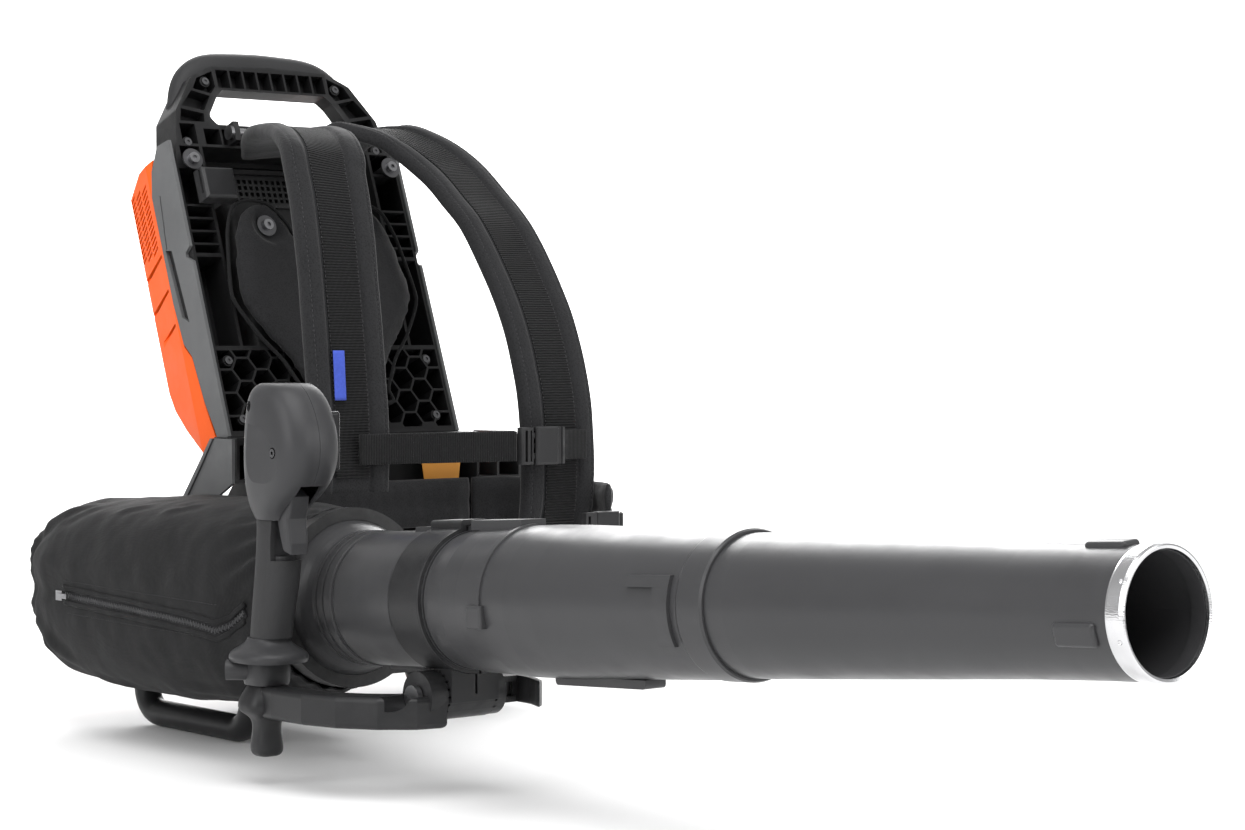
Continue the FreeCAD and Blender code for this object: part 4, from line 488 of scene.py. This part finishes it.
def shoulder_strap(name, line2d, node):
    x = line2d[-1][2]
    outer = spline([Vector((q[2], q[0], q[1])) for q in line2d], 120)
    widths = [q.x for q in spline([Vector((q[3], q[0], q[1])) for q in line2d], 120)]
    frames = strap_frames(outer, Vector((1, 0, 0)))
    out_sign = 1.0 if frames[60][2].y < 0 else -1.0
    across = Vector((out_sign, 0, 0))
    centre = [p - f[2] * out_sign * 7.5 for p, f in zip(outer, frames)]

    def soften(i, u, v):
        end = min(1.0, 0.55 + 0.075 * min(i, len(centre) - 1 - i))
        u *= (widths[i] - 1.2) / (2.0 * STRAP_HALF)
        wave = noise.noise(Vector((u * 0.03, i * 0.17, x))) * 0.5
        edge = noise.noise(Vector((i * 0.11, x, 4.0))) * 0.5 * abs(u) / STRAP_HALF
        return u + edge * math.copysign(1.0, u), v * end + wave * smoothstep(3.0, 7.0, abs(v))
    pad = strap(name, centre, across, strap_profile(), STRAP_CLOTH, "backpack", soften)
    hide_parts(node)
    inner = centre[3:-3]
    lay = [p + f[2] * 4.9 for p, f in zip(inner, strap_frames(centre, across)[3:-3])]
    strap(name + "_channel", lay, across, band_section(2 * CHANNEL_HALF - 2.4, 1.2, 14), CHANNEL,
          "backpack")
    for side in (-1, 1):
        for offset, rise in ((16.2, 5.55), (32.2, 6.75)):
            row = [p + f[1] * side * offset * w / 76.0 + f[2] * rise
                   for p, f, w in zip(centre, strap_frames(centre, across), widths)][5:-5]
            stitches(f"{name}_stitch_{'l' if side < 0 else 'r'}{int(offset)}", row,
                     Vector((0, -1, 0.2)).normalized(), pitch=4.0, long=2.5)


shoulder_strap("strap_right", NEAR_LINE, "shoulder_strap_right")
shoulder_strap("strap_left", FAR_LINE, "shoulder_strap_left")

# blank woven label sewn beside the right strap's channel
label_line = [Vector((-112, -151.5, 318)), Vector((-112, -152.8, 300)), Vector((-112, -154.4, 278))]
strap("strap_label", spline([p + Vector((0, -3.2, 0)) for p in label_line], 14), Vector((1, 0, 0)),
      band_section(11.0, 0.9, 6), LABEL_BLUE, "backpack")


# ------------------------------------------------------------------ intake bag
BAG_STATIONS = [  # y, centre height, width, height, squareness
    (124, 122, 62, 54, 2.2), (119, 121, 108, 98, 2.4), (110, 120, 132, 124, 2.6),
    (94, 118, 146, 142, 2.8), (66, 116.5, 155, 153, 3.0), (10, 117, 161, 160, 3.1),
    (-40, 118, 164, 163, 3.1), (-110, 120, 165, 165, 3.1), (-190, 122, 161, 161, 2.9),
    (-232, 126, 150, 150, 2.4), (-262, 130, 142, 142, 2.1)]
ZIP_LINE = [(33, 117), (0, 116), (-60, 114), (-120, 112), (-160, 110), (-186, 108), (-203, 106),
            (-216, 110), (-228, 118), (-238, 124)]


def lerp_table(table, key):
    if key >= table[0][0]:
        return table[0][1:]
    for a, b in zip(table, table[1:]):
        if key >= b[0]:
            t = smoothstep(0.0, 1.0, (a[0] - key) / (a[0] - b[0])) * 0.5 + 0.5 * (a[0] - key) / (a[0] - b[0])
            return tuple(p + (q - p) * t for p, q in zip(a[1:], b[1:]))
    return table[-1][1:]


def zip_height(y):
    return lerp_table([(p[0], p[1]) for p in ZIP_LINE], y)[0]


FOLDS = [  # start (y, angle), end (y, angle), half width, height; angle in degrees, 180 is the outer side
    ((120, 150), (40, 108), 9.0, 3.2), ((126, 172), (96, 138), 7.0, 2.6),
    ((70, 140), (10, 112), 6.0, 1.6), ((-20, 128), (-60, 112), 5.0, 1.3),
    ((-90, 126), (-130, 110), 5.0, 1.2), ((-215, 172), (-262, 146), 5.0, 2.2),
    ((-205, 160), (-258, 132), 6.0, 2.0), ((-200, 140), (-255, 112), 6.0, 1.8),
    ((-196, 186), (-262, 204), 6.0, 2.0), ((110, 192), (20, 226), 8.0, 2.4),
    ((124, 200), (70, 232), 6.0, 2.2), ((30, 232), (-60, 250), 7.0, 1.6),
    ((-120, 228), (-220, 236), 7.0, 1.4), ((-180, 100), (-250, 84), 6.0, 1.6),
    ((100, 100), (20, 86), 8.0, 2.2), ((0, 90), (-90, 74), 7.0, 1.6)]


def fold_height(y, angle, radius):
    total = 0.0
    for (y0, a0), (y1, a1), width, height in FOLDS:
        k = math.radians(1.0) * radius
        px, py = y - y0, (angle - a0) * k
        dx, dy = y1 - y0, (a1 - a0) * k
        t = max(0.0, min(1.0, (px * dx + py * dy) / (dx * dx + dy * dy)))
        off = math.hypot(px - dx * t, py - dy * t)
        total += height * math.exp(-(off / width) ** 2) * math.sin(math.pi * min(1.0, 0.12 + 0.88 * t))
        total -= 0.45 * height * math.exp(-((off - 1.9 * width) / width) ** 2) * math.sin(math.pi * t)
    return total


def bag_point(y, degrees):
    cz, width, height, power = lerp_table(BAG_STATIONS, y)
    a = math.radians(degrees)
    c, s = math.cos(a), math.sin(a)
    x = TUBE_X + width / 2 * math.copysign(abs(c) ** (2 / power), c)
    z = cz + height / 2 * math.copysign(abs(s) ** (2 / power), s)
    return Vector((x, y, z))


def bag_surface(y, degrees):
    p = bag_point(y, degrees)
    dy = bag_point(y - 2.0, degrees) - bag_point(y + 2.0, degrees)
    da = bag_point(y, degrees + 1.5) - bag_point(y, degrees - 1.5)
    out = dy.cross(da)
    if out.length < 1e-6:
        return p
    out.normalize()
    if out.dot(p - Vector((TUBE_X, y, 120.0))) < 0:
        out = -out
    lift = fold_height(y, degrees, 82.0)
    lift += 1.5 * noise.noise(Vector((p.x, p.y, p.z)) * 0.022) + 0.8 * noise.noise(p * 0.06)
    # seam between the upper and lower halves, open where the zip runs
    zz = zip_height(y)
    if 140 < degrees < 220:
        overhang = smoothstep(0.0, 90.0, y)
        lift += (2.4 + 1.2 * overhang) * bump_at(p.z, zz + 26, 15.0) - 2.6 * bump_at(p.z, zz, 6.5)
        lift += (1.4 - 1.4 * overhang) * bump_at(p.z, zz - 26, 15.0)
    # gathered rear hem
    hem = bump_at(y, 112.0, 6.0)
    lift += hem * (1.2 + 0.5 * math.sin(math.radians(degrees) * 46.0))
    lift -= 1.6 * bump_at(y, 100.0, 5.0)
    # gathers where the cloth is drawn in round the outlet
    draw = smoothstep(-222.0, -258.0, y)
    lift += draw * 0.8 * math.sin(math.radians(degrees) * 30.0 + 2.0 * noise.noise(p * 0.03))
    lift -= 1.4 * bump_at(y, -250.0, 3.5)
    return p + out * (lift - 2.0)


def build_bag():
    rows = 150
    cols = 180
    verts = []
    uvs = []
    for i in range(rows):
        t = i / (rows - 1)
        y = 124.0 - 386.0 * (t - 0.10 * math.sin(2 * math.pi * t) / math.pi)
        for j in range(cols):
            verts.append(bag_surface(y, 360.0 * j / cols))
            uvs.append((j / cols, t))
    return piece("intake_bag_cloth", verts, loft_faces(rows, cols, True, False), BAG_CLOTH, "backpack",
                 uvs)


bag = build_bag()
skin = bag.modifiers.new("thickness", "SOLIDIFY")
skin.thickness = 0.0012
skin.offset = -1.0
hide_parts("intake_bag")


def on_bag_side(y, z, lift):
    """Point on the bag's outer flank at a given height."""
    ladder = [bag_surface(y, 150.0 + k) for k in range(61)]
    for a, b in zip(ladder, ladder[1:]):
        if (a.z - z) * (b.z - z) <= 0.0 and a.z != b.z:
            return a.lerp(b, (a.z - z) / (a.z - b.z)) + Vector((-lift, 0, 0))
    return min(ladder, key=lambda p: abs(p.z - z)) + Vector((-lift, 0, 0))


zip_ys = [33.0 - 268.0 * k / 92 for k in range(93)]
zip_path = [on_bag_side(y, zip_height(y), 1.3) for y in zip_ys]
strap("zip_tape", respace(zip_path, 120), Vector((0, 0, 1)), band_section(9.0, 0.9, 8), ZIP_TAPE,
      "backpack")


def zip_teeth(name, path, pitch=1.9):
    """Interlocked coil teeth: short rounded bars set alternately from the two sides."""
    verts = []
    faces = []
    count = int(length_of(path) / pitch)
    points = respace(path, count + 1)
    for k in range(count):
        along = (points[k + 1] - points[k]).normalized()
        out = Vector((-1, 0, 0))
        side = along.cross(out).normalized()
        shift = 0.55 if k % 2 else -0.55
        base = len(verts)
        for a, s, h in ((-0.5, -1, 0), (0.5, -1, 0), (0.5, 1, 0), (-0.5, 1, 0),
                        (-0.32, -0.8, 1), (0.32, -0.8, 1), (0.32, 0.8, 1), (-0.32, 0.8, 1)):
            verts.append(points[k] + along * (a * pitch * 0.8) + side * (s * 2.0 + shift)
                         + out * (0.3 + h * 1.0))
        for f in ((0, 1, 5, 4), (1, 2, 6, 5), (2, 3, 7, 6), (3, 0, 4, 7), (4, 5, 6, 7), (3, 2, 1, 0)):
            faces.append(tuple(base + i for i in f))
    return piece(name, verts, faces, ZIP_TEETH, "backpack", smooth=False)


zip_teeth("zip_teeth", zip_path)
for tag, shift in (("upper", 6.3), ("lower", -6.3)):
    lip = [on_bag_side(y, zip_height(y) + shift, 0.6) for y in zip_ys]
    strap("zip_lip_" + tag, respace(lip, 100), Vector((0, 0, 1)), band_section(4.6, 2.2, 5), HEM_CLOTH,
          "backpack")
for tag, rise in (("upper", 14.0), ("lower", -12.5)):
    row = [on_bag_side(y, zip_height(y) * 0.25 + 0.75 * 114.0 + rise, 0.1) for y in zip_ys[2:84:2]]
    stitches("bag_stitch_" + tag, row, Vector((-1, 0, 0)), pitch=4.0, long=2.5, wide=0.6, high=0.35)


# ------------------------------------------------------------------ webbing
UP = Vector((0, 0, 1))
chest = webbing("chest_web_right", [(-98, -163.6, 238), (-60, -165.6, 238), (0, -179.0, 238),
                                    (43, -188.0, 238)], UP, 25.0)
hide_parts("webbing_straps")
webbing("chest_web_left", [(91.0, -188.0, 238), (100, -186.2, 238), (120, -184.2, 238)], UP, 25.0, count=24)
webbing("hip_web", [(132.6, -210.2, 169), (142, -206.2, 169), (149.3, -195.6, 169)], UP, 21.0, count=20)
webbing("lifter_web", [lean_mm(-86.5, -12.8, 212.4), lean_mm(-86.5, -12.8, 233.6)], Vector((1, 0, 0)), 30.0,
        1.5, count=12)
webbing("lower_web", [(104, -170.0, 139.8), (104, -120, 112.5), (104, -60, 79.5), (104, -26.4, 61)],
        Vector((1, 0, 0)), 25.0, 1.5, count=40)


# ------------------------------------------------------------------ pads
def outline_solid(name, outline, d0, d1, place):
    """Closed slab from a flat outline, drawn by place(x, d, z)."""
    verts = [place(x, d0, z) for x, z in outline] + [place(x, d1, z) for x, z in outline]
    n = len(outline)
    faces = [tuple(range(n)), tuple(reversed(range(n, 2 * n)))]
    faces += [(i, n + i, n + (i + 1) % n, (i + 1) % n) for i in range(n)]
    mesh = bpy.data.meshes.new(name)
    mesh.from_pydata([P(*v) for v in verts], [], faces)
    obj = bpy.data.objects.new(name, mesh)
    bpy.context.collection.objects.link(obj)
    return obj


def apply_all(obj):
    bpy.context.view_layer.objects.active = obj
    for other in bpy.context.selected_objects:
        other.select_set(False)
    obj.select_set(True)
    for modifier in list(obj.modifiers):
        bpy.ops.object.modifier_apply(modifier=modifier.name)


def puff(obj, voxel=0.005, pressure=4.0, cap=0.006, frames=20):
    """Fills a slab like foam under cloth: remesh, inflate with cloth pressure, cap the travel."""
    remesh = obj.modifiers.new("remesh", "REMESH")
    remesh.mode = "VOXEL"
    remesh.voxel_size = voxel
    apply_all(obj)
    rest = [v.co.copy() for v in obj.data.vertices]
    cloth = obj.modifiers.new("cloth", "CLOTH")
    cloth.settings.use_pressure = True
    cloth.settings.uniform_pressure_force = pressure
    cloth.settings.effector_weights.gravity = 0.0
    cloth.settings.tension_stiffness = 12.0
    cloth.settings.bending_stiffness = 0.4
    cloth.point_cache.frame_start = 1
    cloth.point_cache.frame_end = frames
    for f in range(1, frames + 1):
        bpy.context.scene.frame_set(f)
    apply_all(obj)
    bpy.context.scene.frame_set(1)
    for v, r in zip(obj.data.vertices, rest):
        move = v.co - r
        if move.length > cap:
            v.co = r + move.normalized() * cap
    smooth = obj.modifiers.new("smooth", "SMOOTH")
    smooth.iterations = 4
    smooth.factor = 0.5
    sub = obj.modifiers.new("sub", "SUBSURF")
    sub.levels = 1
    sub.render_levels = 1
    apply_all(obj)
    for polygon in obj.data.polygons:
        polygon.use_smooth = True


PAD_HALF = [(17, 172), (26, 186), (40, 202), (54, 206), (68, 205), (80, 197), (88, 178), (92, 158),
            (97, 124), (96, 112), (89, 98), (76, 78), (61, 60), (52, 44), (45, 30), (41, 16)]


def build_back_pad():
    inset = [(x - 3.5 if x > 60 else x - 3.0 * smoothstep(20.0, 60.0, x) + (2.5 if z > 170 and x < 45 else 0),
              z * 0.97 + 3.2) for x, z in PAD_HALF]
    outline = inset + [(-x, z) for x, z in reversed(inset)]
    obj = outline_solid("back_pad_foam", outline, -20.0, -8.5, lambda x, d, z: lean_mm(x, d, z))
    puff(obj, 0.005, 4.0, 0.0045)
    cos_l, sin_l = math.cos(LEAN), math.sin(LEAN)
    for v in obj.data.vertices:
        mm = v.co * 1000.0 + ORIGIN
        y, z = mm.y, mm.z - FOOT_HEIGHT
        d = y * cos_l - z * sin_l
        up = y * sin_l + z * cos_l
        press = 0.0
        for cx in (-48.0, 48.0):
            r = math.hypot(mm.x - cx, up - 182.0)
            press = max(press, 1.0 - smoothstep(10.0, 26.0, r))
        limit = -14.4 if press > 0.999 else -14.4 - 12.0 * (1.0 - press)
        if d < limit:
            d = limit
        crease = bump_at(abs(mm.x) - 0.32 * (up - 60.0), 14.0, 3.0) * 1.2 if up > 60 and d < -14 else 0.0
        d += crease
        d = max(-23.8, min(-5.4, d))
        v.co = lean(mm.x, d, up)
    obj.data.materials.append(PAD_CLOTH)
    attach(obj, "backpack")
    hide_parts("back_pad")
    edge = [(x - 0.4, z) for x, z in PAD_HALF]
    loop = [Vector((x, 0, z)) for x, z in edge + [(-x, z) for x, z in reversed(edge)]]
    dense = respace(spline(loop + [loop[0]], 260), 200)
    ring = []
    for i, p in enumerate(dense[:-1]):
        q = dense[(i + 1) % (len(dense) - 1)]
        along = (q - p).normalized()
        side = along.cross(Vector((0, 1, 0))).normalized()
        ring.append([lean_mm(p.x + side.x * 1.6 * math.cos(a), -13.5 + 1.6 * math.sin(a),
                             p.z + side.z * 1.6 * math.cos(a)) for a in
                     [2 * math.pi * k / 8 for k in range(8)]])
    verts = [p for r in ring for p in r]
    n = len(ring)
    faces = [(i * 8 + j, i * 8 + (j + 1) % 8, ((i + 1) % n) * 8 + (j + 1) % 8, ((i + 1) % n) * 8 + j)
             for i in range(n) for j in range(8)]
    piece("back_pad_piping", verts, faces, HEM_CLOTH, "backpack")
    return obj


build_back_pad()


def belt_profile(half, thick):
    """Section of a hip pad: two stitched rolls with a shallow valley between."""
    front = [(0.0, thick * 0.36), (half * 0.25, thick * 0.47), (half * 0.5, thick * 0.5),
             (half * 0.72, thick * 0.45), (half * 0.82, thick * 0.34), (half * 0.92, thick * 0.3),
             (half, thick * 0.1)]
    right = front + [(u, -v) for u, v in reversed(front)]
    left = [(-u, v) for u, v in reversed(right[1:-1])]
    return right + left


def wing(name, points, z0, z1, thick):
    mid = (z0 + z1) / 2.0
    line = spline([Vector((x, y, mid)) for x, y in points], 60)

    def soften(i, u, v):
        end = min(1.0, 0.35 + 0.13 * min(i, len(line) - 1 - i))
        pucker = 0.35 * math.sin(i * 1.4 + u * 0.1) + 0.8 * noise.noise(Vector((u * 0.05, i * 0.2, mid)))
        return u, (v + pucker * 0.6) * end
    obj = strap(name, line, UP, belt_profile((z1 - z0) / 2.0, thick), PAD_CLOTH, "backpack",
                soften)
    return obj


left_wing = wing("hip_wing_left", [(113, -33), (143, -36), (153, -58), (155.5, -100), (153.5, -140),
                                   (146, -176), (133, -199)], 162, 204, 13.0)
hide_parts("hip_belt")
wing("hip_wing_right", [(-85, -33), (-106, -37), (-126, -56), (-133, -84), (-134, -112), (-129, -134)],
     210, 246, 13.0)
wing("lumbar_pad_roll", [(-79, -34.8), (-40, -35.2), (14, -35.4), (60, -35.2), (107, -34.8)], 162, 204, 17.0)


# ------------------------------------------------------------------ painted shade: dark sheet behind the louvres
def louvre_shade_sheet(side):
    """Thin dark sheet just inside the rear cover's flank: painted shade that darkens the gaps between the
    louvres.
    """
    verts = []
    for x, d in ((107.0, 52.0), (105.6, 66.0), (101.6, 84.0), (97.0, 97.0)):
        for z in (172.0, 244.0 - 0.22 * (d - 52.0)):
            verts.append(lean_mm(side * x, d, z))
    faces = [(2 * i, 2 * i + 1, 2 * i + 3, 2 * i + 2) for i in range(3)]
    return piece("louvre_shade_sheet_" + ("l" if side > 0 else "r"), verts, faces, HOUSING, "backpack",
                 smooth=False)


# painted shade: one dark sheet behind the louvres on each flank
for flank in (-1, 1):
    louvre_shade_sheet(flank)


# ------------------------------------------------------------------ blank label plate on the base
def plate(name, outline, material):
    verts = [(x, -24.9, z) for x, z in outline] + [(x, -24.15, z) for x, z in outline]
    n = len(outline)
    faces = [tuple(range(n)), tuple(reversed(range(n, 2 * n)))]
    faces += [(i, n + i, n + (i + 1) % n, (i + 1) % n) for i in range(n)]
    return piece(name, verts, faces, material, "backpack", smooth=False)


plate("plate_upper", [(62, 232), (108, 232), (104, 200), (102, 193), (68.6, 193)], PLATE_YELLOW)
plate("plate_lower", [(69, 192.6), (101.8, 192.6), (98, 182), (84, 178), (72, 184)], PLATE_WHITE)

# ------------------------------------------------------------------ camera, floor and light
camera_data = bpy.data.cameras.new("camera")
camera_data.lens = 80.96
camera_data.sensor_width = 36.0
camera_data.sensor_fit = "HORIZONTAL"
camera_data.clip_end = 50.0
camera = bpy.data.objects.new("camera", camera_data)
camera.location = P(-1383.24, -2024.52, 332.0)
camera.rotation_euler = (math.radians(90.0 - 1.677), 0.0, math.radians(-40.0))
bpy.context.collection.objects.link(camera)
bpy.context.scene.camera = camera


def floor_material():
    t = Tree("floor_pale")
    t.drive("Base Color", t.mix(t.noise(2.0), (0.86, 0.86, 0.86), (0.88, 0.88, 0.88)))
    t.drive("Roughness", 0.9)
    return t.material


def build_floor():
    """Pale sweep: a flat floor that curves up far behind the object."""
    verts = []
    faces = []
    profile = [(-9.0, 0.0), (6.0, 0.0)]
    profile += [(6.0 + 2.0 * math.sin(a), 2.0 - 2.0 * math.cos(a)) for a in
                [math.pi / 2 * k / 12 for k in range(1, 13)]]
    profile.append((8.0, 9.0))
    direction = Vector((math.sin(math.radians(40.0)), math.cos(math.radians(40.0)), 0.0))
    side = Vector((direction.y, -direction.x, 0.0))
    for r, h in profile:
        for s in (-9.0, 9.0):
            verts.append(direction * r + side * s + Vector((0, 0, h - 0.0005)))
    for i in range(len(profile) - 1):
        faces.append((2 * i, 2 * i + 1, 2 * i + 3, 2 * i + 2))
    mesh = bpy.data.meshes.new("floor")
    mesh.from_pydata(verts, [], faces)
    for polygon in mesh.polygons:
        polygon.use_smooth = True
    mesh.materials.append(floor_material())
    obj = bpy.data.objects.new("floor", mesh)
    bpy.context.collection.objects.link(obj)


build_floor()


def softbox(name, location, target, size, power):
    data = bpy.data.lights.new(name, "AREA")
    data.shape = "RECTANGLE"
    data.size, data.size_y = size
    data.energy = power
    obj = bpy.data.objects.new(name, data)
    obj.location = location
    aim = Vector(target) - Vector(location)
    obj.rotation_euler = aim.to_track_quat("-Z", "Y").to_euler()
    bpy.context.collection.objects.link(obj)


softbox("backdrop_wash", (2.6, 3.2, 3.6), (5.2, 6.2, 1.4), (6.0, 3.0), 620.0)
softbox("key_top", (-0.6, -0.9, 2.6), (0.0, 0.0, 0.2), (2.4, 2.4), 74.0)
softbox("fill_left", (-2.6, 0.2, 1.3), (0.0, 0.0, 0.25), (1.6, 2.0), 32.0)
softbox("fill_front", (0.9, -2.8, 1.2), (0.0, 0.0, 0.25), (2.0, 1.6), 30.0)
softbox("rim_back", (1.4, 2.2, 1.8), (0.0, 0.0, 0.35), (1.8, 1.4), 60.0)
world = bpy.data.worlds.new("studio")
world.use_nodes = True
world.node_tree.nodes["Background"].inputs["Color"].default_value = (1.0, 1.0, 1.0, 1.0)
world.node_tree.nodes["Background"].inputs["Strength"].default_value = 0.5
bpy.context.scene.world = world
bpy.context.scene.view_settings.view_transform = "Standard"
